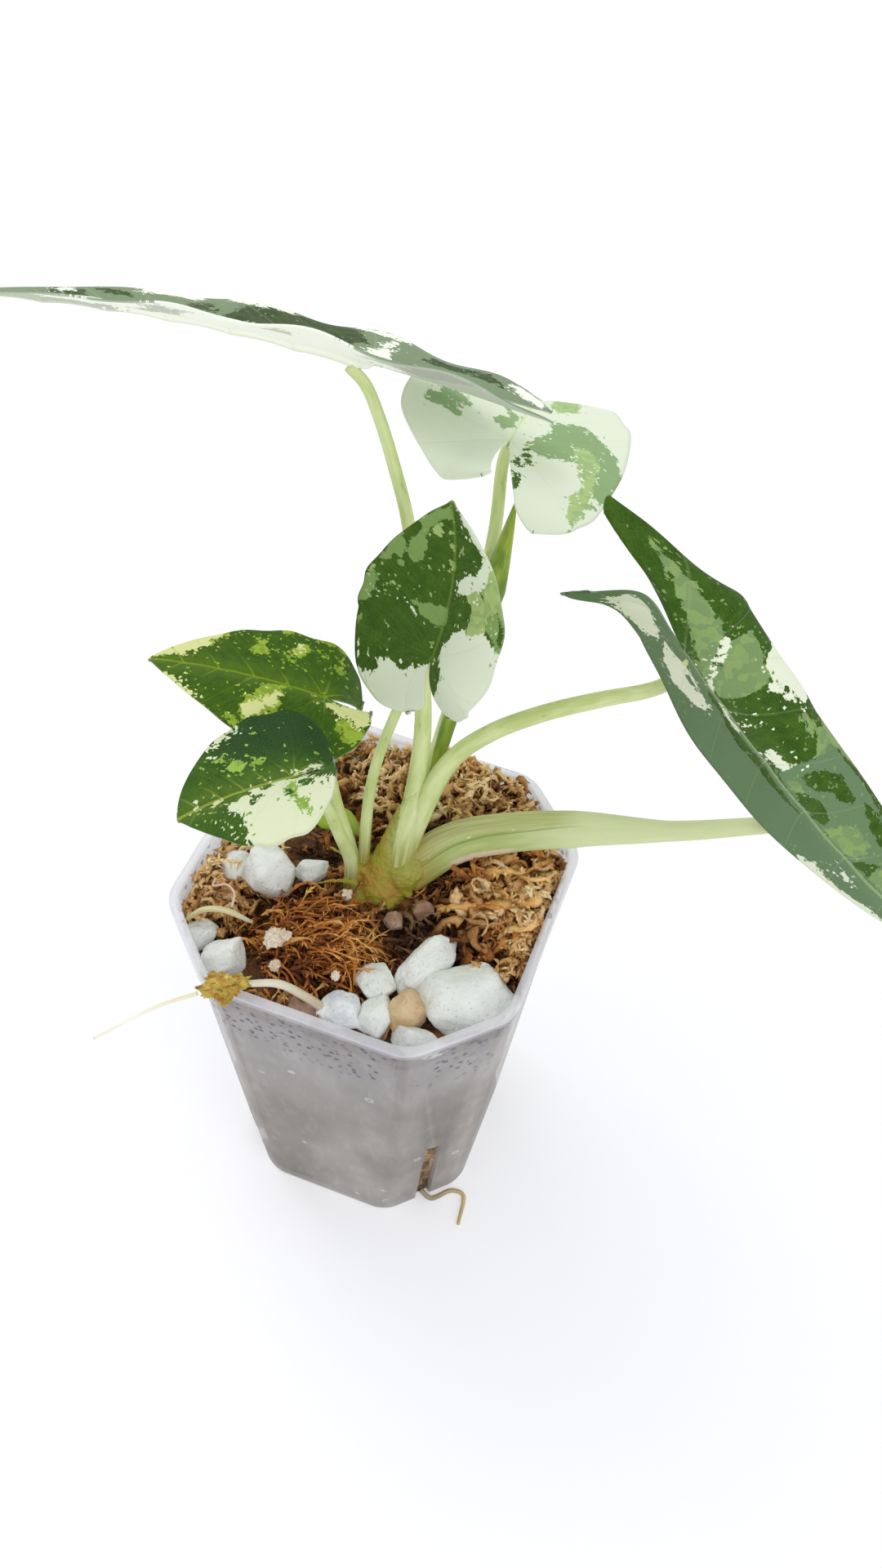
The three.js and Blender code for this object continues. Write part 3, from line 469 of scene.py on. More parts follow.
# The tissue under all the patches of each leaf, the scale of its outlines, then its patches: kind, and
# outline as (along, across) in millimetres from the joint, across positive to the left. A later patch lies
# over an earlier one.
GREEN, GREY, PALE, WHITE = 0, 1, 2, 3
TISSUE = {
    "centre": (GREEN, 1, [
        (WHITE, [(-14, 21), (-4, 21), (-5.8, 17.9), (-5.9, 15.5), (-5.2, 13.2), (-4, 12.8), (-3.8, 10.5),
                 (-4.6, 7), (-3.4, 4), (-2.6, 1.6), (-1, 0), (-14, 0)]),
        (WHITE, [(-14, 2), (-10, 1.5), (-9, -0.5), (-7, -3.5), (-5, -5.3), (-2.2, -6.4), (0, -5.3),
                 (1.2, -2.8), (3.6, -2.7), (5.5, -3.8), (7, -4.2), (10, -8.2), (9, -8.5), (9.5, -10.5),
                 (11.8, -13.2), (11.1, -16.6), (9.3, -21), (-14, -21)]),
        (PALE, [(9, -8.5), (10.5, -8.1), (13, -7.8), (14.8, -7.3), (15, -6.2), (17.2, -6.2), (19, -7.5),
                (17, -11), (13, -13), (11.8, -13.2), (9.5, -10.5)]),
        (GREY, [(12, -13), (15, -12), (16.6, -13.6), (16, -17.5), (12, -19), (9.5, -18.5), (11.1, -16.6),
                (12.2, -14.5)]),
        (PALE, [(15, -12), (17, -10.6), (19.5, -9), (25.5, -9.8), (22, -16), (16, -19), (16.6, -13.6)]),
        (GREEN, [(9.5, -18.2), (13, -16.5), (17, -15.6), (15, -16.9), (10, -19)]),
        (WHITE, [(14.4, -2), (16.6, -2.6), (18.8, -3.8), (20.2, -6), (21, -7.6), (22.6, -8.2), (25.2, -8.8),
                 (25, -10.8), (21.5, -10.4), (18.6, -9.4), (17, -6.6), (15.6, -4.8)]),
        (WHITE, [(25, -9.6), (27.6, -5.6), (29.8, -3.2), (32.6, -1.6), (32, -8), (26, -12)]),
        (GREY, [(6, 0), (6.2, 2), (6.4, 4.6), (7.8, 6.8), (8.6, 8.4), (9.5, 5), (9.7, 2.5), (10.6, 1.5),
                (10.2, -0.6), (8, -0.9)]),
        (WHITE, [(5.9, 6.4), (7.4, 8.8), (8.5, 9.6), (8.2, 8.3), (7, 7)]),
        (GREY, [(1, 20.6), (3.6, 18), (6.5, 17), (9, 16.4), (11.2, 15.6), (12, 16.6), (9.5, 19.4), (5, 21)]),
        (PALE, [(10, 18.2), (14, 16.2), (14.3, 16.6), (12, 18)]),
        (GREY, [(15.8, 15.8), (18.5, 14.4), (20.8, 13.8), (23, 12.2), (23.8, 10.8), (21.6, 9.3), (19.5, 10.6),
                (17.6, 11.3), (16.3, 10), (15.4, 11.8), (17.4, 12.2), (18.4, 12.8), (16.4, 13.4)]),
        (GREY, [(17.6, 8.6), (19, 9.8), (21, 9.8), (22.8, 9), (24.5, 7.6), (26.2, 6.6), (28.2, 7.4),
                (30.8, 3.4), (32, 0.2), (29.2, 0.2), (28.2, 3), (26.4, 5), (24, 6), (21, 5.8), (18.8, 6.4)]),
        (PALE, [(24.8, 2.8), (25.4, 4.4), (27.2, 3.7), (27.8, 2.6), (26.2, 2.7)]),
        (WHITE, [(6.9, 16.3), (7.3, 17.1), (7.9, 16.8), (7.6, 16.1)]),
        (PALE, [(8.2, 15.2), (10, 14.5), (11.4, 12.4), (11, 11.8), (9.5, 13.8)]),
        (PALE, [(22.2, 0.2), (23, 1.2), (24.2, 1.3), (23.6, 0.1)]),
        (PALE, [(18, 0.6), (20, 0.9), (19.4, -0.4), (18, -0.2)]),
        (PALE, [(22.9, -2.2), (24, -1.7), (24, -3.2), (23.1, -3.1)]),
    ]),
    "upper": (GREEN, 1.045, [
        (WHITE, [(24.5, -6.5), (26, -5), (28, -2.8), (29.5, -2.3), (31.5, -2.4), (33.5, -1.2), (31, -7),
                 (24, -12.5), (21.5, -13), (24.2, -8)]),
        (PALE, [(20.5, -12.5), (22, -10.5), (23.5, -8), (24.5, -7.2), (24.2, -8.6), (21.5, -12.6),
                (18.5, -14)]),
        (PALE, [(7.6, 0.6), (8.3, 3), (8.2, 6.5), (8.3, 9.5), (10.5, 10.8), (12, 12.2), (13.8, 13.2),
                (15.2, 12), (15.6, 10), (14.8, 8), (13, 5.5), (12.3, 3.6), (11, 1.6), (9.5, 1.4)]),
        (WHITE, [(8.6, 4), (9, 7.5), (10.2, 8.5), (11.8, 11.5), (13.8, 12.8), (15, 10.5), (13.8, 8.2),
                 (12.8, 7.5), (11.8, 8), (10.8, 6.6), (9.6, 4)]),
        (WHITE, [(-10, 8), (-8, 1.2), (-6, 1.4), (-2, 1.6), (-0.5, 2.6), (-2.2, 5), (-4, 6.4), (-5.5, 6.5),
                 (-7.5, 9)]),
        (PALE, [(-8.6, 12), (-7.4, 9.4), (-5.5, 6.6), (-3.8, 6.6), (-2.4, 5.2), (-3.2, 8), (-5, 11),
                (-6.5, 14)]),
        (PALE, [(4.4, -11), (5.5, -10.3), (6.8, -9.5), (7.2, -7.5), (8, -8), (8.6, -9.5), (8.2, -11.5),
                (7, -12.8), (6.5, -14.8), (4.7, -15.2), (4.3, -13)]),
        (WHITE, [(5.8, -11.3), (6.6, -12), (7.5, -13.5), (6.3, -14.8)]),
        (PALE, [(12.2, -8.3), (13, -7.3), (14.2, -7.9), (15.3, -7.7), (15, -9.5), (14.2, -10.8),
                (14.3, -12.8), (13.4, -12.9), (12.9, -11)]),
        (PALE, [(-3.2, -12), (-2.6, -9.5), (-1.7, -10.5), (-2, -14.5), (-2.9, -14.8)]),
        (PALE, [(1, -11.5), (2, -13.5), (2.4, -14.8), (1.2, -14.8)]),
        (PALE, [(-4, -16.6), (4, -17.2), (10, -16.4), (10, -18), (-4, -18)]),
        (PALE, [(14.6, 15.6), (17, 13.8), (18.4, 13.9), (17.4, 12.8), (15.4, 14)]),
        (WHITE, [(24, 10), (26, 8.2), (29, 5.6), (31, 5), (26, 10.5)]),
    ]),
    "lower": (GREEN, 0.95, [
        (WHITE, [(-9, 14), (-7.4, 21), (0, 21), (8, 21), (10.3, 16.5), (11, 15.2), (10.2, 14.6), (10.3, 13),
                 (9.8, 11.5), (10.6, 10.5), (10.3, 8), (11.6, 6.8), (12.8, 6), (13.2, 4.5), (11.5, 4),
                 (9.8, 3), (8.8, 2.8), (8.3, 1.6), (7.5, 0.9), (6.8, 1), (6.2, 2.5), (5.6, 3.2), (4.3, 3),
                 (3.6, 2.2), (3.2, 1), (2.3, 1.2), (1.2, 1.8), (1, 0.8), (-1, 2.2), (-3.5, 2.2), (-6, 9)]),
        (GREEN, [(-6.9, 13.5), (-5.5, 8), (-4.2, 5), (-3.6, 2.6), (-4.8, 2.6), (-7.6, 10)]),
        (GREEN, [(-4.2, 8.4), (-2.9, 7.2), (-1, 4.4), (-0.8, 3), (-3, 3.4), (-4, 5.5)]),
        (PALE, [(-3.5, 16.5), (-2.3, 16), (-1, 13), (-0.5, 10.5), (-2, 10.5), (-3, 13)]),
        (PALE, [(-1, 10), (0.8, 10.2), (1.4, 8), (1.4, 4.5), (0.2, 3), (-0.8, 5)]),
        (GREEN, [(-0.9, 9.2), (0.3, 9.8), (1.2, 8.3), (1, 6), (0.2, 7)]),
        (GREEN, [(6.2, 4.6), (6.2, 6.7), (7.3, 6.5), (7.8, 7.3), (8.5, 6.7), (8.4, 4.6)]),
        (WHITE, [(8.3, -17.5), (9, -15.7), (10, -16), (11, -15.2), (12.5, -14), (14.5, -13), (13, -16),
                 (9.5, -19)]),
        (PALE, [(8.8, -6.5), (9.5, -5.6), (10.8, -5.8), (11.7, -7.3), (11.6, -8.6), (10.5, -8.8),
                (9.8, -8.2)]),
        (PALE, [(12.2, -7.8), (13.2, -9), (13.7, -9.8), (12.4, -10.4), (12, -9)]),
        (PALE, [(4.8, -6), (5.5, -5.3), (7, -6), (7.4, -8), (6, -7)]),
        (WHITE, [(14.2, -0.2), (14.6, 1), (15.8, 1.8), (16, 0.4)]),
        (WHITE, [(18.8, -0.2), (19.6, 0.5), (19.9, -0.3)]),
        (WHITE, [(4.3, -0.9), (5.4, -0.7), (6.1, -1.4), (5.1, -1.4)]),
        (WHITE, [(-5.5, -3.5), (-4.8, -1.8), (-2, -0.4), (0, -0.1), (-2, -1), (-4.3, -2.4)]),
        (WHITE, [(12.6, 14.2), (13.2, 14.6), (13.3, 13.9)]),
        (WHITE, [(12.6, 10.6), (13.2, 10.9), (13.3, 10.3)]),
        (WHITE, [(14.2, 9.6), (14.8, 9.2), (14.6, 8.8)]),
    ]),
    "right": (GREEN, 1, [
        (PALE, [(-20, 13), (-14, 10), (-8, 6.5), (-2, 3.8), (4, 1.2), (8, 0.4), (6, 2.5), (2, 6), (0, 9),
                (-3, 10), (-7, 10.5), (-13, 13)]),
        (WHITE, [(-0.5, 10), (1.5, 9.6), (4, 6), (6.5, 2.4), (9.6, 0.5), (7, 1), (3, 4.4), (0.6, 7.4)]),
        (PALE, [(1, 11), (3, 14.4), (8, 13.5), (9, 12), (12, 11.8), (13, 9), (12, 5), (11, 1), (8, 1.4),
                (4, 6), (1.6, 9.4)]),
        (WHITE, [(26, 1.5), (25.5, 3), (28, 3.8), (31, 5), (33.5, 4.5), (32, 2.8), (29.5, 1.4)]),
        (WHITE, [(18.5, 1), (19.6, 6), (20.2, 6), (19.3, 1)]),
        (PALE, [(22, 13.4), (24.4, 11), (26, 12), (27, 9.6), (29, 11), (28.6, 13.6)]),
        (WHITE, [(13.2, 10.6), (14.4, 9.4), (16, 10.8), (19, 11.6), (21.6, 12.6), (19, 13.2)]),
        (WHITE, [(9, 14.6), (9.4, 12.6), (13, 11.6), (16, 12.4), (19, 13.4), (21, 13.6), (24, 15), (20, 23),
                 (9, 23)]),
        (GREY, [(31, 1), (33, 9), (31, 12), (34, 14.5), (50, 13.6), (60, 10.5), (72, 6.5), (90, 1.4),
                (92, 0.4), (40, 0.4)]),
        (GREEN, [(34, 5), (36, 9), (40, 10.6), (47, 9.6), (46, 7.4), (41, 7), (38, 4.6)]),
        (GREEN, [(37, 0.8), (38, 3), (42, 4.6), (46, 3.8), (47.4, 1.6), (44, 0.8)]),
        (GREEN, [(49, 11), (56, 11), (60, 7.4), (56, 7.2), (52, 9)]),
        (GREEN, [(58.6, 0.8), (61, 4), (66, 3.6), (67, 1.2)]),
        (GREEN, [(66, 7), (72, 5.2), (78, 3), (70, 3.4)]),
        (PALE, [(33.4, 2), (35, 4), (38, 3), (36, 1.2)]),
        (PALE, [(30, 12), (33, 9), (34, 13), (37, 15), (52, 16), (48, 22), (28, 24)]),
        (PALE, [(48, 1), (49, 4.5), (53, 6), (57.5, 5.5), (58, 3), (57.5, 1)]),
        (PALE, [(62, 4), (66, 6), (72, 4), (70, 1.5), (64, 1)]),
        # Painted sheen: the grey over the whole right half stands in for its sheen, seen at a grazing angle.
        (GREY, [(-26, 0.3), (96, 0.3), (96, -24), (-26, -24)]),
        # The green strip along the midrib is the blade's own green, left dark as painted shade in the groove
        # by the rib.
        (GREEN, [(9, -1.2), (16, -2), (24, -1.6), (36, -1.6), (44, -2.4), (36, -5), (22, -7), (12, -5)]),
        (WHITE, [(12.5, -0.4), (20.5, -0.4), (20, -2.6), (16, -3)]),
        (WHITE, [(0, -12.5), (4, -9.5), (9, -8.2), (13.5, -9), (17, -11), (16.5, -15), (12, -18.4),
                 (6, -17.6), (2, -15)]),
        (GREY, [(8.6, -9.4), (12, -9.4), (11.6, -12.2), (9, -12.6)]),
        (WHITE, [(-16, -9), (-10, -7.6), (-4, -10.4), (0, -15), (-3, -19), (-12, -19), (-17, -14)]),
        (WHITE, [(56, -13), (59, -10.4), (64, -10.5), (69, -8.6), (73, -6.6), (80, -5.4), (72, -12),
                 (60, -16)]),
        (WHITE, [(60, -4), (64, -5.8), (66, -6), (63, -4)]),
    ]),
    "back": (WHITE, 1, [
        (GREY, [(-3, 18), (-1, 20), (2, 20), (2.6, 17), (1, 12), (-1, 11.5), (-3, 13), (-1.5, 16)]),
        (GREY, [(2.6, 18), (7, 19), (8.5, 15), (8, 12), (3, 10), (2, 14)]),
        # Painted shadow: this grey patch is where the left leaf shades the left half of this blade.
        (GREY, [(4, 23), (6, 26), (22, 24), (26, 14), (19, 15), (12, 16.5), (7, 19)]),
        (GREY, [(2.6, 2), (4.5, 5), (7.5, 4.5), (9, 2.5), (12, 4), (15, 5), (13, 1), (6, 0.6)]),
        (GREEN, [(24, 14), (30, 20), (48, 14), (62, 9), (60, 3), (44, 8), (32, 7)]),
        (PALE, [(-27, -18.9), (-15, -16.2), (-8, -17.5), (-1, -15.5), (3, -13.5), (7, -12), (10, -18),
                (4, -19.4), (-4, -19.8), (-10, -20.8), (-17, -19.8)]),
        (GREY, [(-3.5, -7), (0, -3.5), (3, -4), (8, -6.5), (13, -6), (16, -7), (18.5, -10), (18, -13),
                (14, -18), (10, -22), (4, -24), (-2, -25), (-8, -24), (-13, -21.4), (-10, -20.8),
                (-4, -19.8), (4, -19.4), (8, -16), (7, -12.4), (3, -13.5), (0, -13.5), (-3, -9.5)]),
        (GREEN, [(-21, -4.6), (-18, -2.8), (-13.5, -2.8), (-14, -5), (-18, -5.6)]),
        (WHITE, [(-16.4, -3.6), (-15.4, -3.4), (-15.6, -4.4)]),
        (GREEN, [(-12, -3.3), (-8, -2.8), (-3, -4), (-0.5, -3.5), (-4, -5.5), (-7, -6.3), (-9.5, -6)]),
        (WHITE, [(-9.5, -4.2), (-6.5, -3.8), (-6.6, -5), (-8.8, -5.2)]),
        (PALE, [(23, -6), (30, -3.5), (60, -2), (65, -7), (40, -9), (27, -10)]),
    ]),
    "left": (GREY, 1, [
        (WHITE, [(-4, -26), (-2, -14), (2, -6), (10, -4), (25, -5), (29, -2), (44, -1), (50, 3), (60, 1.5),
                 (61, 9), (52, 11), (50, 17), (42, 15), (30, 27), (6, 29), (-1, 29), (-3, 24), (-9, 21),
                 (-7, 17), (-1, 15), (-4, 11), (-11, 9), (-8, 6), (-3, 5), (-6, 2)]),
        (GREY, [(30, 14), (33, 8), (34, 3), (38, 5), (45, 2), (42, 8), (40, 9), (39, 15), (35, 20),
                (34, 15)]),
        (PALE, [(10, 18), (14, 14), (20, 16), (19, 21), (13, 22)]),
        (GREEN, [(1, -15), (4, -9), (10, -6), (16, -6.5), (22, -6), (28, -3.5), (29, -6), (26.5, -12),
                 (26, -18), (22, -20), (17, -23), (12, -28), (6, -28), (2, -20)]),
        (WHITE, [(17, -23.5), (21, -20.6), (25, -20), (30, -21), (30, -26), (18, -29)]),
        (WHITE, [(35, -17), (42, -15), (48, -13.6), (46, -18), (36, -22)]),
        (GREEN, [(54, -2), (56, -9), (58, -6), (60, -8), (63, -9), (62, -2)]),
        (WHITE, [(57, -6), (59, -10), (61, -8), (60, -5)]),
        (WHITE, [(-36, -11), (-30, -14), (-29, -22), (-34, -20), (-37, -16)]),
        (GREEN, [(-28, -14), (-20, -18), (-10, -16), (-12, -22), (-24, -24)]),
        (WHITE, [(-7, -28), (-6, -24.6), (-2, -24), (4, -26), (4, -29)]),
        (PALE, [(-30, -2), (-24, -6), (-18, -12), (-10, -10), (-12, -2)]),
        (GREEN, [(30, -9), (33, -15), (36, -12), (35, -7)]),
        (GREEN, [(46, -8), (50, -12), (54, -11), (51, -7)]),
        (GREEN, [(-24, 24), (-14, 10), (-8, 14), (-12, 26)]),
    ]),
    "outer": (GREEN, 1, [
        (WHITE, [(-10, -6), (4, -4), (16, -7), (26, -13), (20, -18), (4, -17), (-8, -13)]),
        (PALE, [(18, -3), (30, -2), (38, -6), (32, -12), (24, -8)]),
        (GREY, [(-14, 4), (-4, 3), (6, 8), (12, 14), (2, 18), (-12, 14)]),
        (WHITE, [(22, 4), (30, 3), (38, 6), (32, 11), (26, 9)]),
        (PALE, [(44, 0), (52, 2), (60, 1), (58, -3), (48, -4)]),
        (GREY, [(36, 10), (46, 8), (54, 5), (50, 2), (42, 5)]),
    ]),
}

# Side veins leave the midrib at a slant and bend forward. Behind the joint they fan out over the lobes.
LATERAL = 0.55
LATERAL_CURVE = 0.25
ALONG_VEIN = 1.15
ACROSS_VEINS = 0.87
LOBE_VEINS = 3
VEINS_ADULT = 6.5
VEINS_YOUNG = 5
QUILT_ADULT = 0.014
QUILT_YOUNG = 0.006
RIB_HEIGHT = 1.1
RIB_WIDTH = 0.75


def half_width(shape, s):
    """The half-width at shares s of the way from lobe tips to apex, through a smooth curve."""
    x, y = np.array(shape).T
    slope = np.diff(y) / np.diff(x)
    gap = np.diff(x)
    tangent = np.concatenate([slope[:1], (slope[1:] * gap[:-1] + slope[:-1] * gap[1:]) / (gap[1:] + gap[:-1]),
                              slope[-1:]])
    s = np.clip(s, 0, 1)
    i = np.clip(np.searchsorted(x, s) - 1, 0, len(x) - 2)
    t = (s - x[i]) / gap[i]
    return ((2 * t**3 - 3 * t**2 + 1) * y[i] + (t**3 - 2 * t**2 + t) * gap[i] * tangent[i]
            + (3 * t**2 - 2 * t**3) * y[i + 1] + (t**3 - t**2) * gap[i] * tangent[i + 1])


def midrib(leaf):
    """Stations along the midrib: distance from the joint, place, direction to the left, direction up."""
    heading, rise, roll = np.radians(leaf["turn"])
    ahead = np.array([math.cos(rise) * math.cos(heading), math.cos(rise) * math.sin(heading), math.sin(rise)])
    level = np.array([-math.sin(heading), math.cos(heading), 0])
    over = np.cross(ahead, level)
    side = level * math.cos(roll) + over * math.sin(roll)
    up = over * math.cos(roll) - level * math.sin(roll)

    def walk(length, bend, sweep, twist, way):
        stations = []
        place = np.array(leaf["at"], float)
        for k in range(STATIONS + 1):
            t = k / STATIONS
            swing = sweep * t * t
            flat = ahead * math.cos(swing) + side * math.sin(swing)
            along = flat * math.cos(bend * t) - up * math.sin(bend * t)
            across = side * math.cos(swing) - ahead * math.sin(swing)
            top = np.cross(along, across)
            c, s = math.cos(twist * t), math.sin(twist * t)
            stations.append((way * t * length, place, across * c + top * s, top * c - across * s))
            place = place + along * way * length / STATIONS
        return stations

    bend, sweep, twist, lobe_bend = (math.radians(leaf[key])
                                     for key in ("bend", "sweep", "twist", "lobe_bend"))
    rows = walk(leaf["lobe"], -lobe_bend, 0, 0, -1)[:0:-1] + walk(leaf["length"], bend, sweep, twist, 1)
    return [np.array(column) for column in zip(*rows)]


def sheet(leaf, a, b):
    """Places on the leaf's sheet at distances a along the midrib and b across it."""
    stations, place, side, up = midrib(leaf)

    def mixed(column):
        return np.stack([np.interp(a, stations, column[:, k]) for k in range(3)], 1)

    def half(key):
        return np.where(b < 0, leaf[key][1], leaf[key][0])

    behind = np.maximum(0, -a)
    across = np.abs(b) + half("splay") * behind**2 / leaf["lobe"]
    fold = np.radians(half("fold"))
    curl = np.where(np.abs(half("curl")) < 0.1, 0.002, np.radians(half("curl")))
    angle = fold + curl * across / leaf["half"]
    out = leaf["half"] * (np.sin(angle) - np.sin(fold)) / curl
    edge = np.minimum(1, across / leaf["half"])
    waves = 9 * math.pi * a / (leaf["length"] + leaf["lobe"]) + 2 * (b < 0)
    sag = half("drop") * (behind / leaf["lobe"]) ** 2 * np.minimum(1, across / (0.3 * leaf["half"]))
    lift = leaf["half"] * (np.cos(fold) - np.cos(angle)) / curl - sag + leaf["wave"] * edge**2 * np.sin(waves)
    return mixed(place) + mixed(side) * (np.sign(b) * out)[:, None] + mixed(up) * lift[:, None]


def inside_by(outline, a, b):
    """How far inside an outline each point lies, in millimetres, and below 0 outside it."""
    inside = np.zeros(len(a), bool)
    nearest = np.full(len(a), 1e9)
    for (x0, y0), (x1, y1) in zip(outline, outline[1:] + outline[:1]):
        run_x, run_y = x1 - x0, y1 - y0
        share = np.clip(((a - x0) * run_x + (b - y0) * run_y) / (run_x ** 2 + run_y ** 2), 0, 1)
        nearest = np.minimum(nearest, np.hypot(a - x0 - share * run_x, b - y0 - share * run_y))
        if y0 != y1:
            inside ^= ((y0 > b) != (y1 > b)) & (a < (x1 - x0) * (b - y0) / (y1 - y0) + x0)
    return np.where(inside, nearest, -nearest)


def tissue_fields(tissue, a, b):
    """For grey, pale and white: how far inside tissue of at least that paleness each point lies."""
    base, scale, patches = tissue
    fields = [np.full(len(a), 6.0 if base >= level else -6.0) for level in (GREY, PALE, WHITE)]
    for kind, outline in patches:
        depth = inside_by([(scale * x, scale * y) for x, y in outline], a, b)
        for i, level in enumerate((GREY, PALE, WHITE)):
            fields[i] = np.maximum(fields[i], depth) if kind >= level else np.minimum(fields[i], -depth)
    return fields


def vein_flow(leaf, a, b):
    """A number that is whole on each main side vein, the distance run along it, and millimetres per vein."""
    spacing = leaf["length"] / (VEINS_ADULT if leaf["shape"] is ADULT else VEINS_YOUNG)
    bent = a - LATERAL_CURVE * b**2 / leaf["half"]
    first = math.atan2(1, LATERAL)
    fan = (np.arctan2(np.abs(b), bent) - first) / (math.pi - first) * LOBE_VEINS
    ahead = bent - LATERAL * np.abs(b)
    reach = np.hypot(a, b)
    number = np.where(ahead > 0, ahead / spacing, -fan)
    gap = np.where(ahead > 0, spacing * ACROSS_VEINS, reach * (math.pi - first) / LOBE_VEINS)
    return number, np.where(ahead > 0, np.abs(b) * ALONG_VEIN, reach), gap


def store(bm, name, columns):
    layer = bm.verts.layers.float_vector.new(name)
    for vert, values in zip(bm.verts, np.stack(columns, 1)):
        vert[layer] = values


def leaf_mesh(leaf, tissue, rows, columns):
    """Both halves of the sheet from one grid each, joined on the midrib, quilted between the veins,
    and given a thickness with a raised rib beneath."""
    bm = bmesh.new()
    for sign in (1, -1):
        made = bmesh.ops.create_grid(bm, x_segments=rows, y_segments=columns, size=0.5)["verts"]
        for vert in made:
            vert.co.z = sign
    u = np.array([v.co.x for v in bm.verts]) + 0.5
    v = np.array([v.co.y for v in bm.verts]) + 0.5
    sign = np.array([v.co.z for v in bm.verts])
    v = np.where(sign > 0, v, 1 - v) ** 1.5
    young = leaf["shape"] is YOUNG
    total = leaf["length"] + leaf["lobe"]
    a = total * (1 - np.cos(math.pi * np.clip(u, 0, 1))) / 2 - leaf["lobe"]
    notch = CLOSED_NOTCH if young else OPEN_NOTCH
    outer = half_width(leaf["shape"], (a + leaf["lobe"]) / total) * leaf["half"]
    behind = np.clip(1 + a / leaf["lobe"], 0, 1)
    inner = np.where(a < 0, 0.5 * leaf["half"] * (1 - behind**notch), 0)
    across = inner + (outer - inner) * v
    b = sign * np.maximum(across, 1e-6)
    number, run, gap = vein_flow(leaf, a, b)
    depth = np.abs(np.sin(math.pi * number)) ** 0.8
    fade = np.clip((outer - across) / 5, 0, 1) * np.clip(gap / 4, 0, 1)
    quilt = (QUILT_YOUNG if young else QUILT_ADULT) * leaf["half"] * depth * fade
    quilt -= 0.3 * np.exp(-(b / 0.7) ** 2) * (a > 0)
    places = sheet(leaf, a, b)
    for vert, place in zip(bm.verts, places):
        vert.co = place
    bm.normal_update()
    lifts = [vert.normal * (LEAF_THICKNESS / 2 + puff) for vert, puff in zip(bm.verts, quilt)]
    for vert, lift in zip(bm.verts, lifts):
        vert.co += lift
    nothing = np.zeros_like(a)
    store(bm, "skin", [a, b, nothing])
    store(bm, "flow", [number, run, gap])
    store(bm, "tissue", tissue_fields(tissue, a, b))
    thinning = np.clip(1 - a / leaf["length"], 0, 1) ** 0.7
    rib = np.where(a > -2, RIB_HEIGHT * np.exp(-(b / RIB_WIDTH) ** 2) * thinning, 0)
    store(bm, "rib", [rib, nothing, nothing])
    bmesh.ops.remove_doubles(bm, verts=bm.verts, dist=0.002)
    bm.normal_update()
    skin = bm.verts.layers.float_vector["skin"]
    ribbed = bm.verts.layers.float_vector["rib"]
    made = bmesh.ops.extrude_face_region(bm, geom=bm.faces[:])["geom"]
    for vert in [g for g in made if isinstance(g, bmesh.types.BMVert)]:
        vert.co -= vert.normal * (LEAF_THICKNESS + vert[ribbed][0] * leaf["half"] / 28)
        vert[skin] = Vector((vert[skin][0], vert[skin][1], 1))
    bmesh.ops.recalc_face_normals(bm, faces=bm.faces)
    return bm


def leaf_finish(name, dark, light, grey, pale, white, vein, lines, heart, chips, flecks, gloss, painted_shade=0.0,
                below=(196, 208, 178), painted_glow=0.0):
    """Lines and heart say how far the side veins and the joint stand out in the colour of the veins; chips
    how ragged the patches are; flecks how many loose specks lie near their edges; painted_shade how dark the
    painted shade on the right half is near the joint. Below tints the underside, and painted_glow is painted
    light: an emission of the blade's own colour that stands in for the light coming through the thin blade."""
    f = Finish(name)
    along, across, under = f.parts(f.attribute("skin"))
    number, run, gap = f.parts(f.attribute("flow"))
    grey_in, pale_in, white_in = f.parts(f.attribute("tissue"))
    flat = f.vector(along, across, 0.0)
    wander = f.noise(flat, 1.3, 3, "Color")
    torn = f.node("ShaderNodeVectorMath", {"operation": "MULTIPLY_ADD"},
                  {0: wander, 1: (1.1, 1.1, 0), 2: flat})
    chip, _, tone = f.parts(f.cells(torn, 0.62, "Color"))
    bit, chance, strength = f.parts(f.cells(torn, 1.9, "Color"))
    tear = chips * (1.5 * (chip - 0.5) + 0.7 * (bit - 0.5)) + 0.35 * (f.noise(flat, 2.6, 3) - 0.5)
    fleck = (chance > 1 - flecks) * strength * 3.4
    loose = (chance > 1 - 0.12 * flecks) * 8
    hole = (strength > 0.975) * 1.8

    def mask(depth, extra):
        return (depth + tear + extra).step(-0.08, 0.08)

    patchy = f.noise(f.vector(number * 9, run * 0.4, 0.0), 0.8)
    mottle = f.noise(flat, 0.35, 3)
    fine = f.noise(flat, 3.2, 3)
    body = f.mix(0.6 * patchy.step(0.3, 0.75) + 0.4 * mottle.step(0.3, 0.7), dark, light)
    # Painted shade on the right half near the joint.
    shaded = (0 - across).step(2.0, 11.0) * (1 - along.step(9.0, 17.0))
    body = f.mix(painted_shade * shaded, body, (26, 62, 30))
    body = f.mix(mask(grey_in, fleck), body, grey)
    pale_tones = f.mix(tone.step(0.35, 0.65), pale, f.mix(0.5, pale, grey))
    body = f.mix(mask(pale_in, fleck + loose), body, pale_tones)
    body = f.mix(mask(white_in, fleck * 0.8 - hole), body, white)
    line = 1 - ((number - number.whole()).size() * gap).step(0.06, 0.34)
    rib = (1 - across.size().step(0.15, 0.6)) * (along > -1)
    joint = 1 - run.step(0.5, 7.0)
    body = f.mix(line * (lines + heart * joint), body, vein)
    body = f.mix(rib * (0.05 + 1.5 * lines + 0.4 * joint), body, vein)
    body = f.mix(joint * heart * 0.35, body, vein)
    body = f.mix(0.12 * (fine - 0.35), body, (232, 240, 214))
    body = f.mix(under * 0.4, body, below)
    height = fine * 0.3 + patchy * 0.3 - line * 0.5
    # The emission is painted light: the blade glows in its own colour, standing in for light through it.
    return f.surface({
        "Base Color": body, "Roughness": gloss + 0.12 * fine, "Normal": f.bump(height, 0.0002, 0.55),
        "Specular IOR Level": 0.035, "Emission Color": body, "Emission Strength": painted_glow,
    })


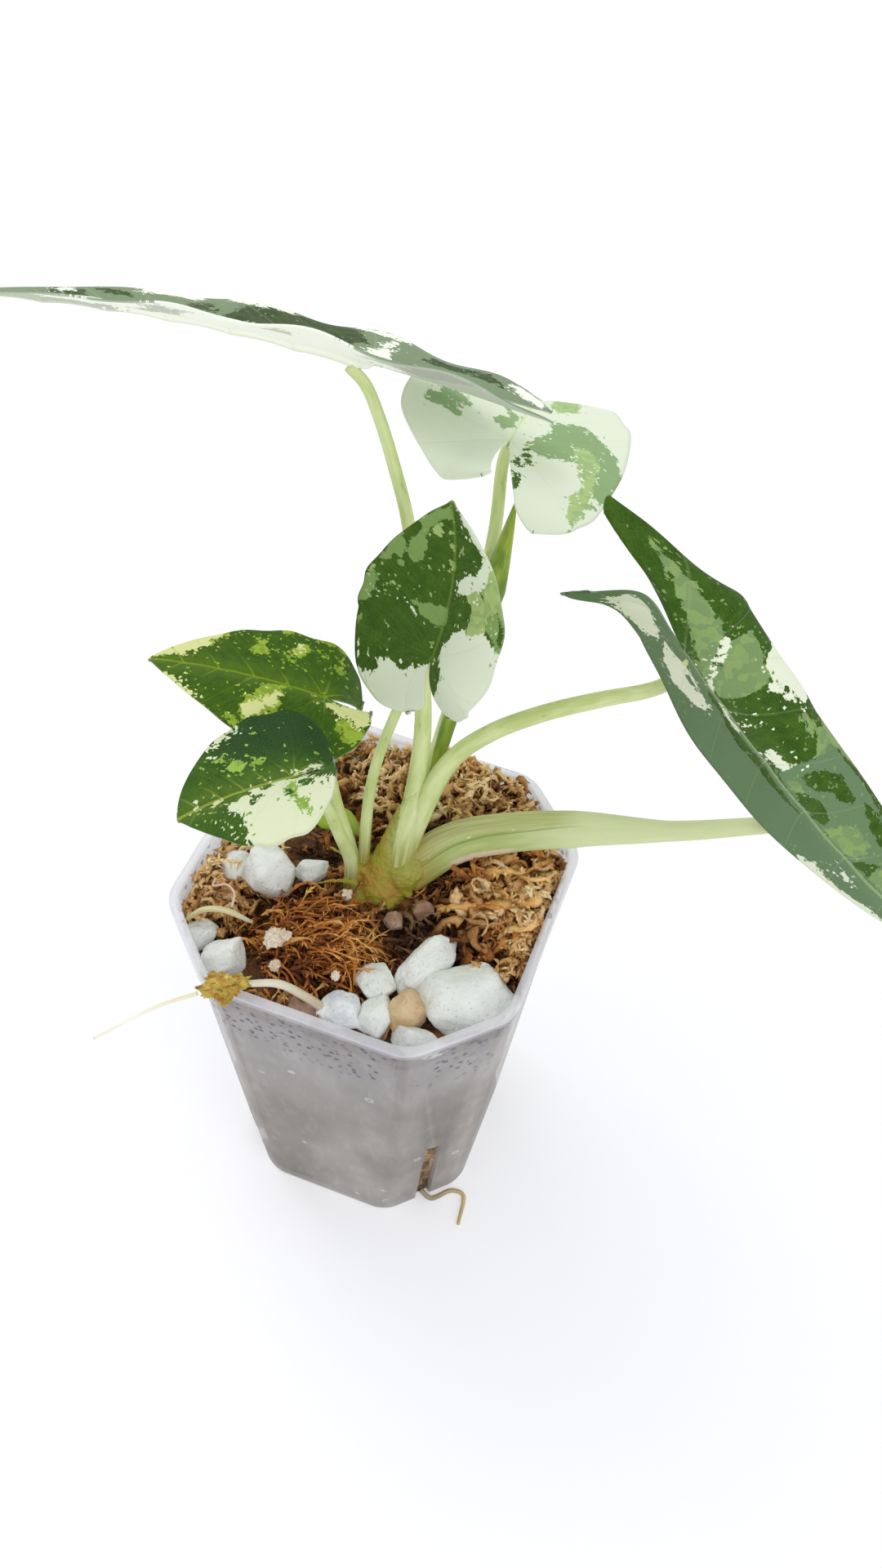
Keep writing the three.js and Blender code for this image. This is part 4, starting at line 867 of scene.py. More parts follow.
LOOKS = {
    "left": dict(
        dark=(44, 62, 26), light=(68, 88, 46), grey=(116, 136, 104), pale=(158, 176, 136),
        white=(232, 236, 222), vein=(190, 202, 166), lines=0.15, heart=0.2, chips=1.2, flecks=0.05,
        gloss=0.5, below=(244, 246, 236), painted_glow=0.14),
    "back": dict(
        dark=(48, 78, 14), light=(74, 106, 36), grey=(128, 156, 108), pale=(158, 182, 118),
        white=(206, 215, 194), vein=(190, 206, 160), lines=0.08, heart=0.3, chips=0.8, flecks=0.05,
        gloss=0.5, below=(232, 238, 220), painted_glow=0.2),
    "right": dict(
        dark=(42, 76, 2), light=(64, 100, 14), grey=(102, 130, 92), pale=(134, 160, 96),
        white=(230, 236, 212), vein=(170, 190, 140), lines=0.12, heart=0.15, chips=0.6, flecks=0.08,
        gloss=0.5),
    "outer": dict(
        dark=(52, 86, 10), light=(78, 112, 30), grey=(100, 130, 80), pale=(138, 168, 84),
        white=(230, 236, 212), vein=(200, 214, 164), lines=0.2, heart=0.2, chips=1.2, flecks=0.08,
        gloss=0.5),
    "centre": dict(
        dark=(46, 80, 4), light=(68, 100, 24), grey=(122, 152, 84), pale=(160, 182, 112),
        white=(216, 225, 200), vein=(124, 156, 66), lines=0.02, heart=0.08, chips=0.45, flecks=0.07,
        gloss=0.45),
    "upper": dict(
        dark=(48, 84, 2), light=(72, 108, 6), grey=(112, 146, 30), pale=(160, 186, 62),
        white=(226, 230, 160), vein=(150, 178, 44), lines=0.07, heart=0.4, chips=0.9, flecks=0.12,
        gloss=0.42),
    "lower": dict(
        dark=(40, 78, 2), light=(64, 102, 6), grey=(112, 148, 52), pale=(150, 184, 76),
        white=(217, 224, 190), vein=(196, 212, 96), lines=0.01, heart=0.2, chips=0.8, flecks=0.1,
        gloss=0.34, painted_shade=0.75),
}
ROWS_ADULT = 128
ROWS_YOUNG = 84
COLUMNS = 32
for name, leaf in LEAVES.items():
    rows = ROWS_YOUNG if leaf["shape"] is YOUNG else ROWS_ADULT
    blade = leaf_mesh(leaf, TISSUE[name], rows, COLUMNS)
    piece("leaf_" + name, blade, leaf_finish(name + " leaf", **LOOKS[name]), "leaf", "blade_" + name)

# Stalks
# Juicy round stalks that rise from the crown, each turning up to its blade from beneath.
# The right one has a short round sheath at its foot, and the outer one a wide flat sheath with a dry edge.
APPROACH = 0.45
BURIED = 1.4
FRONT = Vector((0.19, -0.61, 0.77))
ROUTE_STEPS = 24

# A route runs from inside the crown up to its blade. A direct stalk has no bend of its own under the blade.
# Flat is the thickness from foot to blade as a share of the width.
STALKS = {
    "left": dict(
        route=[(2.5, 7, 99), (1.5, 21, 126), (-4, 30.5, 150.5), (-9.5, 37.5, 169), (-13.8, 40.6, 178.9),
               (-18.5, 43.3, 188.4), (-21.9, 44.4, 194.2)],
        direct=True, radii=[2.3, 2.1, 1.8, 1.6, 1.4, 1.3, 1.2]),
    "right": dict(
        route=[(3, 4, 97), (4, 11, 108), (8.5, 20.5, 122), (14.5, 26, 127.5), (24, 32, 132), (36, 39, 135),
               (43.5, 43, 136.5), (47.5, 43, 140.5), (50, 39.5, 149)],
        direct=True, radii=[2.9, 2.7, 2, 1.9, 1.8, 1.6, 1.4, 0.8]),
    "outer": dict(
        route=[(4.5, 5, 98.5), (13.5, 12.5, 105), (25, 17.5, 108.5), (39.5, 22, 111.5), (58, 27.5, 113.5),
               (84, 37, 118)],
        radii=[5, 4.6, 4.1, 2.3, 1.9, 1.5, 1.3], flat=[0.5, 0.45, 0.45, 0.8, 1, 1, 1]),
    "back": dict(route=[(2, 12, 96), (4, 26, 120), (5, 38, 139), (4.5, 52, 160)], radii=[2.1, 1.8, 1.5, 1.3]),
    "centre": dict(
        route=[(-4.5, 2, 96), (-6.5, 12, 117), (-3.5, 17.5, 135), (1.5, 17, 150)],
        direct=True, radii=[1.4, 1.2, 1.1, 1]),
    "upper": dict(
        route=[(-6, 3, 95), (-8.3, 3.4, 105.3), (-11.4, 4.3, 115.9), (-13.9, 5.7, 126.9)],
        direct=True, radii=[1.6, 1.4, 1.2, 1]),
    "lower": dict(
        route=[(-6.5, 0, 94), (-5.8, -1.3, 105), (-6.5, -5.6, 119.9), (-7.6, -10.3, 134.7),
               (-8.9, -16.2, 146.1)],
        direct=True, radii=[1.6, 1.5, 1.3, 1.1, 1]),
}

# The short rounded sheath at the foot of the right stalk, which clasps its neighbours.
COLLAR = dict(route=[(3, 4, 97), (2.7, 9, 106), (3.1, 14, 113), (3.6, 17.6, 118.4)],
              radii=[3.2, 3.3, 2.9, 0.7])


def smooth_route(points, count):
    """Evenly spaced places on a centripetal Catmull-Rom curve through the points."""
    points = [Vector(p) for p in points]
    points = [2 * points[0] - points[1]] + points + [2 * points[-1] - points[-2]]
    dense = []
    for p0, p1, p2, p3 in zip(points, points[1:], points[2:], points[3:]):
        t1 = (p1 - p0).length ** 0.5
        t2 = t1 + (p2 - p1).length ** 0.5
        t3 = t2 + (p3 - p2).length ** 0.5
        for k in range(ROUTE_STEPS):
            t = t1 + (t2 - t1) * k / ROUTE_STEPS
            a1 = p0 * (t1 - t) / t1 + p1 * t / t1
            a2 = p1 * (t2 - t) / (t2 - t1) + p2 * (t - t1) / (t2 - t1)
            a3 = p2 * (t3 - t) / (t3 - t2) + p3 * (t - t2) / (t3 - t2)
            b1 = a1 * (t2 - t) / t2 + a2 * t / t2
            b2 = a2 * (t3 - t) / (t3 - t1) + a3 * (t - t1) / (t3 - t1)
            dense.append(b1 * (t2 - t) / (t2 - t1) + b2 * (t - t1) / (t2 - t1))
    dense.append(points[-2])
    lengths = np.concatenate([[0], np.cumsum([(q - p).length for p, q in zip(dense, dense[1:])])])
    even = np.linspace(0, lengths[-1], count)
    table = np.array([list(p) for p in dense])
    return [Vector(np.interp(d, lengths, table[:, k]) for k in range(3)) for d in even], even


def part_way(values, share):
    """The value at a share of the way through evenly spaced values."""
    return float(np.interp(share, np.linspace(0, 1, len(values)), values))


def rolled(bm, stalk, rings, sides, swell=None):
    """A tube: a grid rolled round a route, with its seam joined and its ends closed."""
    places, lengths = smooth_route(stalk["route"], rings + 1)
    skin = bm.verts.layers.float_vector.get("skin") or bm.verts.layers.float_vector.new("skin")
    made = bmesh.ops.create_grid(bm, x_segments=rings, y_segments=sides, size=0.5)["verts"]
    for vert in made:
        share = vert.co.x + 0.5
        turn = 2 * math.pi * (vert.co.y + 0.5)
        k = min(rings, round(share * rings))
        ahead = (places[min(k + 1, rings)] - places[max(k - 1, 0)]).normalized()
        broad = ahead.cross(FRONT).normalized()
        thin = ahead.cross(broad)
        radius = part_way(stalk["radii"], share)
        if swell:
            radius *= swell(share, turn)
        squash = part_way(stalk.get("flat", (1, 1)), share)
        vert.co = places[k] + radius * (broad * math.cos(turn) + thin * math.sin(turn) * squash)
        vert[skin] = Vector((radius * math.cos(turn), radius * math.sin(turn), lengths[k]))
    bmesh.ops.remove_doubles(bm, verts=made, dist=0.001)
    bmesh.ops.holes_fill(bm, edges=[e for e in bm.edges if e.is_boundary])
    bmesh.ops.recalc_face_normals(bm, faces=bm.faces)
    return bm


def stalk_finish(name, light, deep, foot):
    """Streaked lengthwise and blotched from light to deep, with small dark marks, and stained at the foot."""
    f = Finish(name)
    around_x, around_y, along = f.parts(f.attribute("skin"))
    streaks = f.noise(f.vector(around_x * 2.4, around_y * 2.4, along * 0.07), 1.0)
    broad = f.noise(f.vector(around_x * 0.3, around_y * 0.3, along * 0.1), 1.0, 2)
    marks = f.cells(f.vector(around_x * 0.9, around_y * 0.9, along * 0.3), 1.0)
    mark = (1 - marks.step(0.08, 0.3)) * broad.step(0.48, 0.6)
    colour = f.mix(0.3 * streaks.step(0.3, 0.75) + 0.7 * broad.step(0.35, 0.65), light, deep)
    colour = f.mix(mark * 0.35, colour, (118, 142, 66))
    base = 1 - along.step(2.0, 15.0)
    colour = f.mix(base * (0.35 + 0.6 * streaks.step(0.3, 0.6)), colour, foot)
    return f.surface({
        "Base Color": colour, "Roughness": 0.42 + 0.15 * streaks, "Normal": f.bump(streaks, 0.00015, 0.5),
        "Subsurface Weight": 0.12, "Subsurface Radius": (0.6, 1.0, 0.3), "Subsurface Scale": 0.0015,
    })


def sheath_finish():
    """The open sheath of the outer stalk: a pale inner face above a fold line, streaked purple-brown near the
    crown, and a green outer face with a dry pinkish edge below it. The crease of the fold has painted shade,
    with a painted highlight beside it. Further out it is a plain stalk."""
    f = Finish("open sheath")
    across, through, along = f.parts(f.attribute("skin"))
    streaks = f.noise(f.vector(across * 3, through * 3, along * 0.06), 1.0)
    broad = f.noise(f.vector(across * 0.5, through * 0.5, along * 0.08), 1.0, 2)
    ragged = f.noise(f.vector(0.0, 0.0, along * 0.5), 1.0)
    fold = across + 0.045 * along - 0.7 + 1.2 * (broad - 0.5)
    opened = 1 - along.step(34.0, 44.0)
    inner = (1 - fold.step(-0.25, 0.25)) * opened
    greener = streaks.step(0.3, 0.75) * 0.3 + 0.5 * broad.step(0.4, 0.6)
    outside = f.mix(greener, (184, 198, 128), (156, 176, 96))
    outside = f.mix(along.step(20.0, 42.0) * 0.75, outside, (216, 224, 176))
    inside = f.mix(streaks.step(0.3, 0.7) * 0.6, (190, 196, 132), (156, 164, 92))
    stain = streaks.step(0.46, 0.6) * (1 - along.step(14.0, 26.0)) * (0 - across).step(1.2, 3.4)
    inside = f.mix(stain * 0.6, inside, (158, 134, 110))
    colour = f.mix(inner, outside, inside)
    # Painted shade darkens the crease of the fold, and a painted highlight runs beside it.
    crease = 1 - (fold - 0.35).size().step(0.05, 0.35)
    colour = f.mix(crease * opened * 0.45, colour, (120, 134, 62))
    shine = (1 - (fold + 0.25).size().step(0.08, 0.22)) * ragged.step(0.55, 0.62) * opened
    colour = f.mix(shine * 0.8, colour, (244, 246, 232))
    edge = (across + 0.8 * ragged).step(3.4, 4.0) * along.step(9.0, 12.0) * (1 - along.step(24.0, 28.0))
    colour = f.mix(edge * 0.8, colour, (226, 206, 180))
    base = 1 - along.step(2.0, 12.0)
    colour = f.mix(base * (0.35 + 0.6 * streaks.step(0.3, 0.6)), colour, (160, 138, 48))
    return f.surface({
        "Base Color": colour, "Roughness": 0.42 + 0.15 * streaks,
        "Normal": f.bump(streaks * 0.6 - crease * opened * 1.2, 0.0003, 0.6),
    })


def creased(share, turn):
    """The fold that runs along the face of the sheath towards the viewer."""
    return 1 - 0.2 * math.exp(-((turn - 1.46 * math.pi) / 0.16) ** 2) * max(0, 1 - share / 0.5)


stalk_skin = stalk_finish("stalk", (220, 229, 172), (186, 203, 122), (156, 140, 44))
sheath_skin = sheath_finish()
for name, stalk in STALKS.items():
    leaf = LEAVES[name]
    rise = Vector(midrib(leaf)[3][STATIONS - 1])
    top = Vector(sheet(leaf, np.array([1.5]), np.array([1e-9]))[0]) - rise * BURIED
    under = top - rise * APPROACH * math.sqrt(leaf["length"])
    end = [top] if stalk.get("direct") else [under, top]
    whole = dict(stalk, route=[*stalk["route"], *end])
    if name == "outer":
        bm = rolled(bmesh.new(), whole, 120, 64, creased)
    else:
        bm = rolled(bmesh.new(), whole, 120, 20)
    if name == "right":
        rolled(bm, COLLAR, 40, 20)
    skin = sheath_skin if name == "outer" else stalk_skin
    piece("petiole_" + name, bm, skin, "stalk", "stalk_" + name)

# New leaf and sprout
# A leaf still rolled into a spear beside the back stalk, and the first flat leaflet of a side shoot.
NEW_LEAF = dict(
    route=[(3.5, 17, 104), (5, 27, 124), (7, 37, 144), (8.5, 44.5, 160), (9, 50, 171)],
    radii=[1.9, 1.7, 2, 3.2, 0.35])
SPROUT = dict(
    route=[(-6.5, 12, 93.5), (-9, 12.2, 97), (-13.3, 12.5, 99.7), (-17.5, 11.2, 101), (-22, 11.5, 101.5)],
    radii=[0.7, 0.8, 2.6, 3, 0.5], flat=[1, 0.9, 0.3, 0.25, 0.7])


def rolled_edge(share, turn):
    """The free margin of the rolled leaf stands out as a ridge that winds slowly round it."""
    return 1 + 0.16 * max(0, math.cos(turn - 1.2 - 1.5 * share)) ** 6 - 0.08


spear = rolled(bmesh.new(), NEW_LEAF, 110, 28, rolled_edge)
spear_skin = stalk_finish("rolled leaf", (160, 180, 56), (84, 120, 20), (120, 140, 60))
piece("new_leaf_spear", spear, spear_skin, "young_leaf", "new_leaf")
shoot = rolled(bmesh.new(), SPROUT, 60, 24)
shoot_skin = stalk_finish("shoot leaf", (176, 206, 60), (136, 176, 36), (170, 180, 90))
piece("side_shoot", shoot, shoot_skin, "young_leaf", "sprout")

# Crown
# The short thick stem of the plant, green-brown and stained, with nubs where old roots have started.
CROWN_AT = Vector((0.5, 3.5, 93.5))
BULK = 7.2
LUMPS = [
    ((-0.5, -0.4, -0.5), (0.94 * BULK, 0.94 * BULK, 0.96 * BULK)),
    ((-0.6 * BULK, -0.7 * BULK, -0.15 * BULK), (0.6 * BULK, 0.55 * BULK, 0.5 * BULK)),
    ((-0.9 * BULK, 0, -0.1 * BULK), (0.6 * BULK, 0.6 * BULK, 0.6 * BULK)),
]
NUBS = [(-6.4, -3.2, 3.2), (-5.2, -4.6, 2.2), (-7.2, -1.6, 1.2), (-3.6, -6.2, 0.4), (3.4, -6, 1.5),
        (6.2, -2, 2.6)]
NUB_SIZE = (1.3, 1.2, 1.1)
STEM_FOOT = dict(route=[(-1.4, 2.0, 95.5), (-0.1, 5.6, 102), (0.8, 9.8, 108.5), (1.8, 15, 115)],
                 radii=[4.3, 3, 2, 0.9])
ROOT_STUBS = [
    dict(route=[(-3, 1, 99), (-8, 2.2, 101), (-13, 3.2, 101.6)], radii=[0.9, 0.7, 0.45]),
    dict(route=[(-4, -1.5, 98.2), (-9, -3.6, 99.4), (-13, -5.8, 98.6)], radii=[0.8, 0.6, 0.4]),
]

# How far up each stalk the crown swells round it, and the spacing of the lumps that make the swelling.
FLARES = {"left": 13, "right": 15, "outer": 3, "back": 9, "centre": 6, "upper": 6, "lower": 6}
FLARE_STEP = 1.2
CROWN_GRAIN = 0.35


def crown_finish():
    """Olive and brown below, and green above where the stalks start."""
    f = Finish("stained crown")
    place = f.place()
    x, _, height = f.millimetres()
    stain = f.noise(place, 230)
    fine = f.noise(place, 1400)
    colour = f.ramp(stain + 0.2 * (fine - 0.5), [
        (0.25, (132, 142, 34)), (0.45, (160, 154, 44)), (0.6, (176, 136, 50)), (0.8, (146, 94, 36))])
    green = f.mix(stain.step(0.3, 0.7), (168, 178, 92), (156, 150, 66))
    left_side = 1 - (x + 4 * (stain - 0.5)).step(-2, 2)
    upper = (height + 14 * (stain - 0.5) - 9 * left_side).step(97.5, 104.5)
    colour = f.mix(upper, colour, green)
    return f.surface({"Base Color": colour, "Roughness": 0.45 + 0.25 * fine,
                      "Normal": f.bump(stain + 0.3 * fine, 0.0005, 0.6)})


stem = bmesh.new()
swellings = [(CROWN_AT + Vector(centre), size) for centre, size in LUMPS]
swellings += [(CROWN_AT + Vector(nub), NUB_SIZE) for nub in NUBS]
for name, reach in FLARES.items():
    stalk = STALKS[name]
    places, lengths = smooth_route(stalk["route"], 120)
    thickness = min(1, stalk.get("flat", [1])[0] + 0.3)
    for place, length in zip(places, lengths):
        if length < reach and length % FLARE_STEP < FLARE_STEP / 2:
            radius = part_way(stalk["radii"], length / lengths[-1]) * (1.12 - 0.16 * length / reach)
            swellings.append((place, (radius * thickness,) * 3))
for centre, size in swellings:
    made = bmesh.ops.create_icosphere(stem, subdivisions=3, radius=1)["verts"]
    bmesh.ops.scale(stem, vec=size, verts=made)
    bmesh.ops.translate(stem, vec=centre, verts=made)
for stub in [STEM_FOOT, *ROOT_STUBS]:
    rolled(stem, stub, 20, 12)
crown = piece("stem_base", stem, crown_finish(), "crown_bark", "crown")
fuse = crown.modifiers.new("fuse", "REMESH")
fuse.mode = "VOXEL"
fuse.voxel_size = CROWN_GRAIN * MM
smooth = crown.modifiers.new("smooth", "SMOOTH")
smooth.iterations = 8
applied(crown)
for vert in crown.data.vertices:
    vert.co += vert.normal * 0.3 * MM * (noise.fractal(vert.co * 700, 0.8, 2.1, 3) - 0.5)

# Top dressing
# Rough white pumice and a few tan and rusty pebbles pressed into the moss in front of the plant.

# Centre, half-sizes, and turn and tilt in degrees.
STONES = {
    "back_left": ((-22.6, -6.5, 98.8), (6, 5.2, 7.6), 20, 10),
    "far_left": ((-32, -6, 95.5), (4.6, 4.4, 3.8), 70, 5),
    "crown_left": ((-15.2, -1.5, 97), (3.6, 3, 3.2), 40, 20),
    "left": ((-24, -29, 95), (5, 4.2, 4), 60, 10),
    "left_edge": ((-31, -24.5, 94.5), (3.4, 3.6, 3), 15, 30),
    "mid": ((8.3, -22.2, 96), (5, 3.8, 4.2), -15, 25),
    "long": ((17.4, -14.4, 96.6), (8, 3.9, 4.6), 62, -10),
    "big": ((28, -19, 95.5), (10.4, 6.8, 5.2), 12, 4),
    "tan": ((17.4, -26.6, 95.2), (4.6, 4, 4.4), 80, 5),
    "pale": ((11.6, -29.6, 95.2), (4.8, 3.6, 4.2), 75, 15),
    "grey": ((4.4, -31.4, 95.6), (4.6, 4.2, 4), -30, 10),
    "front": ((21.8, -31.6, 94.4), (5.2, 2.8, 3.6), 8, 0),
    "pink": ((11.4, -1.6, 97), (2.3, 1.9, 2), 30, 0),
    "brown": ((6.6, -6.6, 96.4), (2.2, 1.9, 1.8), 90, 0),
    "rust": ((-3.4, -32.2, 93.6), (3.4, 3, 3), 0, 10),
}
WORN_SIDES = 13
EDGE_SHARPNESS = 16
MINSTD = 2147483647
MINSTD_FACTOR = 16807


def stone_planes(seed):
    """The flat sides that a stone is worn to, as a direction and a distance each."""
    state = seed * 7919 + 17
    draws = []
    for _ in range(2 * WORN_SIDES):
        state = state * MINSTD_FACTOR % MINSTD
        draws.append(state / MINSTD)
    planes = []
    for i in range(WORN_SIDES):
        lift = (2 * i + 1) / WORN_SIDES - 1
        turn = i * 2.4 + 0.9 * draws[2 * i]
        flat = math.sqrt(1 - lift * lift)
        way = Vector((flat * math.cos(turn), flat * math.sin(turn), lift))
        planes.append((way, 0.82 + 0.2 * draws[2 * i + 1]))
    return planes


def stone_finish(name, light, mid, dark):
    """Blotched and grainy, with small dark pores in patches."""
    f = Finish(name)
    place = f.place()
    broad = f.noise(place, 190)
    grain = f.noise(place, 1500, 5)
    pit = (1 - f.cells(place, 1500).step(0.05, 0.3)) * f.noise(place, 500, 2).step(0.5, 0.6)
    colour = f.mix(broad.step(0.35, 0.75), light, mid)
    colour = f.mix(pit * 0.22 + 0.2 * grain.step(0.5, 0.8), colour, dark)
    return f.surface({"Base Color": colour, "Roughness": 0.9,
                      "Normal": f.bump(grain * 0.6 + broad - 0.4 * pit, 0.0007, 0.8)})


def set_down(bm, verts, turn, tilt, tilt_axis, at):
    """Tilts and turns a shape about its middle, and moves it to its place."""
    spin = Matrix.Rotation(math.radians(turn), 3, "Z") @ Matrix.Rotation(math.radians(tilt), 3, tilt_axis)
    bmesh.ops.rotate(bm, cent=(0, 0, 0), matrix=spin, verts=verts)
    bmesh.ops.translate(bm, vec=at, verts=verts)


pumice = stone_finish("pumice", (240, 243, 239), (230, 233, 230), (190, 190, 192))
ashen = stone_finish("ashen pumice", (250, 251, 254), (206, 210, 220), (150, 154, 168))
buff = stone_finish("buff stone", (222, 196, 156), (196, 160, 112), (150, 112, 70))
ruddy = stone_finish("ruddy stone", (190, 160, 140), (150, 112, 90), (104, 70, 54))
STONE_LOOKS = {"tan": (buff, "tan_stone"), "grey": (ashen, "pumice"), "rust": (ruddy, "tan_stone"),
               "pink": (ruddy, "tan_stone"), "brown": (ruddy, "tan_stone")}
for number, (name, (at, size, turn, tilt)) in enumerate(STONES.items(), 1):
    bm = bmesh.new()
    bmesh.ops.create_icosphere(bm, subdivisions=5, radius=1)
    planes = stone_planes(number)
    for vert in bm.verts:
        way = vert.co.normalized()
        worn = sum(max(0, way.dot(plane) / distance) ** EDGE_SHARPNESS for plane, distance in planes)
        rough = 0.05 * noise.fractal(way * 2.6 + Vector((number, 0, 0)), 0.8, 2.2, 5)
        reach = worn ** (-1 / EDGE_SHARPNESS) * (1 + rough) - 0.01
        vert.co = Vector(way[k] * size[k] for k in range(3)) * reach
    set_down(bm, bm.verts, turn, tilt, "X", at)
    material, slot = STONE_LOOKS.get(name, (pumice, "pumice"))
    piece("pebble_" + name, bm, material, slot, "stone_" + name)

# Runner, bud and roots
# A pale runner lies over the rim with a dried, papery bud at its end, and thin roots hang from it,
# lie over the stones and creep out of the drainage slot.
RUNNER = dict(route=[(2.5, -32.5, 95.5), (-3, -33, 99.5), (-8, -34, 102.5), (-13.5, -37.5, 104.6)],
              radii=[1.1, 1, 0.9, 0.7])
ROOTS = {
    "hanging": dict(route=[(-21.6, -43.6, 105), (-28, -48.4, 103.5), (-34, -53.4, 100.5), (-39, -57, 97)],
                    radii=[0.45, 0.4, 0.35, 0.35]),
    "top": dict(route=[(-34.5, -24.2, 98.2), (-31, -22.6, 101.4), (-27, -21.2, 101.6), (-21.5, -19, 97)],
                radii=[0.5, 0.7, 0.7, 0.4]),
    "foot": dict(route=[(22.2, -22.2, 3), (25.4, -22.6, 1), (29.6, -18.6, 0.8), (32.8, -18.6, 0.8),
                        (34.4, -26.5, 0.6)], radii=[0.7, 0.65, 0.6, 0.45]),
}
BUD_AT = Vector((-17.3, -40.6, 105.4))
BUD_SCALES = [((0, 0, 0), (4.4, 2.2, 1.7), 35, 0), ((1.2, -1.4, 0.4), (3, 1.8, 1.2), 110, 20),
              ((-1, 1, 0.9), (3.2, 1.6, 1), 0, -15)]
root_skin = stalk_finish("root", (232, 226, 196), (206, 196, 150), (190, 180, 120))
thin_root = stalk_finish("thin root", (246, 245, 232), (234, 230, 206), (230, 224, 190))
old_root = stalk_finish("old root", (206, 186, 142), (184, 160, 110), (128, 120, 108))
ROOT_SKINS = {"hanging": thin_root, "top": root_skin, "foot": old_root}
runner_skin = stalk_finish("runner", (228, 220, 204), (208, 200, 172), (196, 180, 150))
piece("runner_stem", rolled(bmesh.new(), RUNNER, 50, 16), runner_skin, "root", "runner")
for name, root in ROOTS.items():
    bm = rolled(bmesh.new(), root, 50, 12)
    piece("fine_root_" + name, bm, ROOT_SKINS[name], "root", "root_" + name)


def papery_finish():
    """Dry and streaked, from dark olive to straw, with ruddy patches."""
    f = Finish("papery bud")
    place = f.place()
    streaks = f.noise(f.stretched(place, (0.3, 1, 1), 0.6), 900, 5)
    patches = f.noise(place, 320, 3)
    colour = f.ramp(0.5 * streaks + 0.5 * patches, [
        (0.25, (104, 78, 20)), (0.42, (168, 138, 44)), (0.55, (206, 180, 84)), (0.72, (236, 222, 160))])
    colour = f.mix(0.7 * f.noise(place, 420, 2).step(0.5, 0.62), colour, (178, 112, 40))
    return f.surface({"Base Color": colour, "Roughness": 0.8, "Normal": f.bump(streaks, 0.0007, 0.9)})


bud = bmesh.new()
for centre, size, turn, tilt in BUD_SCALES:
    made = bmesh.ops.create_icosphere(bud, subdivisions=4, radius=1)["verts"]
    for vert in made:
        crumple = 1 + 0.55 * noise.fractal(vert.co * 2.4 + Vector(centre), 0.7, 2.2, 5)
        vert.co = Vector(vert.co[k] * size[k] * crumple for k in range(3))
    set_down(bud, made, turn, tilt, "Y", BUD_AT + Vector(centre))
piece("dry_bud", bud, papery_finish(), "dry_bud", "bud")

# Moss
# Dried bog moss, pulled apart by hand: an orange-brown tuft of fibres in front of the crown, broad golden
# curls on the right, and a thick brown heap behind. Each strand is leafy: short scales stand off it.

# Centre and spread say where the strands start, or wall the stretch of the wall that they start along, as
# bearings in radians. Thin is the thickness as a share of the width, lift how high they may climb, fan the
# point that they spread from, scales how many each has, and warm how near they are to the paler colours.
HEAPS = {
    "tuft": dict(centre=(-8.5, -20.5), spread=(12, 8.5), count=600, length=(6, 15), width=(0.2, 0.62),
                 thin=0.6, lift=8.0, curl=0.27, fan=(-28, -30), scales=5, warm=0.0),
    "right": dict(centre=(26, 4), spread=(10, 16), count=260, length=(6, 15), width=(0.7, 1.8),
                  thin=0.35, lift=8.0, curl=0.8, scales=12, warm=0.15),
    "back": dict(centre=(4, 28), spread=(22, 9), count=360, length=(5, 11), width=(0.5, 1.15),
                 thin=0.6, lift=9.0, curl=0.9, scales=11, warm=0.8),
    "left": dict(centre=(-32, -14), spread=(6, 13), count=190, length=(5, 11), width=(0.5, 1.0),
                 thin=0.6, lift=6.5, curl=0.9, scales=12, warm=0.7),
    "ground": dict(centre=(2, -4), spread=(32, 32), count=420, length=(5, 12), width=(0.3, 0.9),
                   thin=0.6, lift=3.0, curl=0.8, scales=7, warm=0.3),
    "edge": dict(centre=(0, 0), spread=(1, 1), count=360, length=(4, 9), width=(0.5, 1.1),
                 thin=0.6, lift=9.5, curl=0.9, scales=9, warm=0.7, wall=(-0.35, 3.75)),
    "flakes": dict(centre=(28, 0), spread=(8, 13), count=60, length=(5, 12), width=(1.0, 2.2),
                   thin=0.14, lift=9.5, curl=0.8, scales=3, warm=0.6),
}
STRAND_STEPS = 9
SUNK = 1.0
SCALE_LENGTH = (0.9, 2.4)
FROM_WALL = 1.9
START_FROM_WALL = (2.2, 4.5)
FROM_CROWN = 8
STONE_COVER = 0.85
HOLLOW_AT = (9.5, -7)


def hollow_shade(f):
    """Painted shade in the hollow between the crown, the tuft and the right heap."""
    x, y, _ = f.millimetres()
    beside, ahead = x - HOLLOW_AT[0], y - HOLLOW_AT[1]
    return 1 - (beside * beside + ahead * ahead).root().step(3, 10.5)


def moss_finish(name, warm):
    """Dark where a strand lies deep, and lighter on the strands and scales that reach the light."""
    f = Finish(name)
    place = f.place()
    shade, rise, _ = f.parts(f.attribute("strand"))
    fine = f.noise(place, 1500)
    clumps = f.noise(place, 85, 3)
    light = 0.5 * shade + 0.35 * (fine - 0.3) + 1.4 * (clumps - 0.5) + 0.7 * rise - 0.22
    deep = f.ramp(light, [
        (0.0, (70, 34, 10)), (0.25, (136, 72, 20)), (0.55, (196, 122, 44)), (1.0, (244, 196, 116))])
    pale = f.ramp(light, [
        (0.0, (88, 56, 28)), (0.25, (168, 122, 66)), (0.55, (220, 182, 120)), (1.0, (252, 236, 194))])
    # Painted shade darkens the moss in the hollow.
    colour = f.mix(hollow_shade(f) * 0.8, f.mix(warm, deep, pale), (58, 34, 18))
    return f.surface({"Base Color": colour, "Roughness": 0.85, "Normal": f.bump(fine, 0.0004, 0.7)})


def free_spot(x, y):
    """Whether moss may start here: inside the cup, and not on a stone or the crown."""
    inside = pot_width(FILL) / 2 - 2
    if max(abs(x), abs(y)) > inside or abs(x) + abs(y) > 2 * inside - TOP_CORNER + 1:
        return False
    if (Vector((x, y)) - CROWN_AT.xy).length < FROM_CROWN:
        return False
    return all(((x - at[0]) / size[0]) ** 2 + ((y - at[1]) / size[1]) ** 2 > STONE_COVER
               for at, size, _, _ in STONES.values())


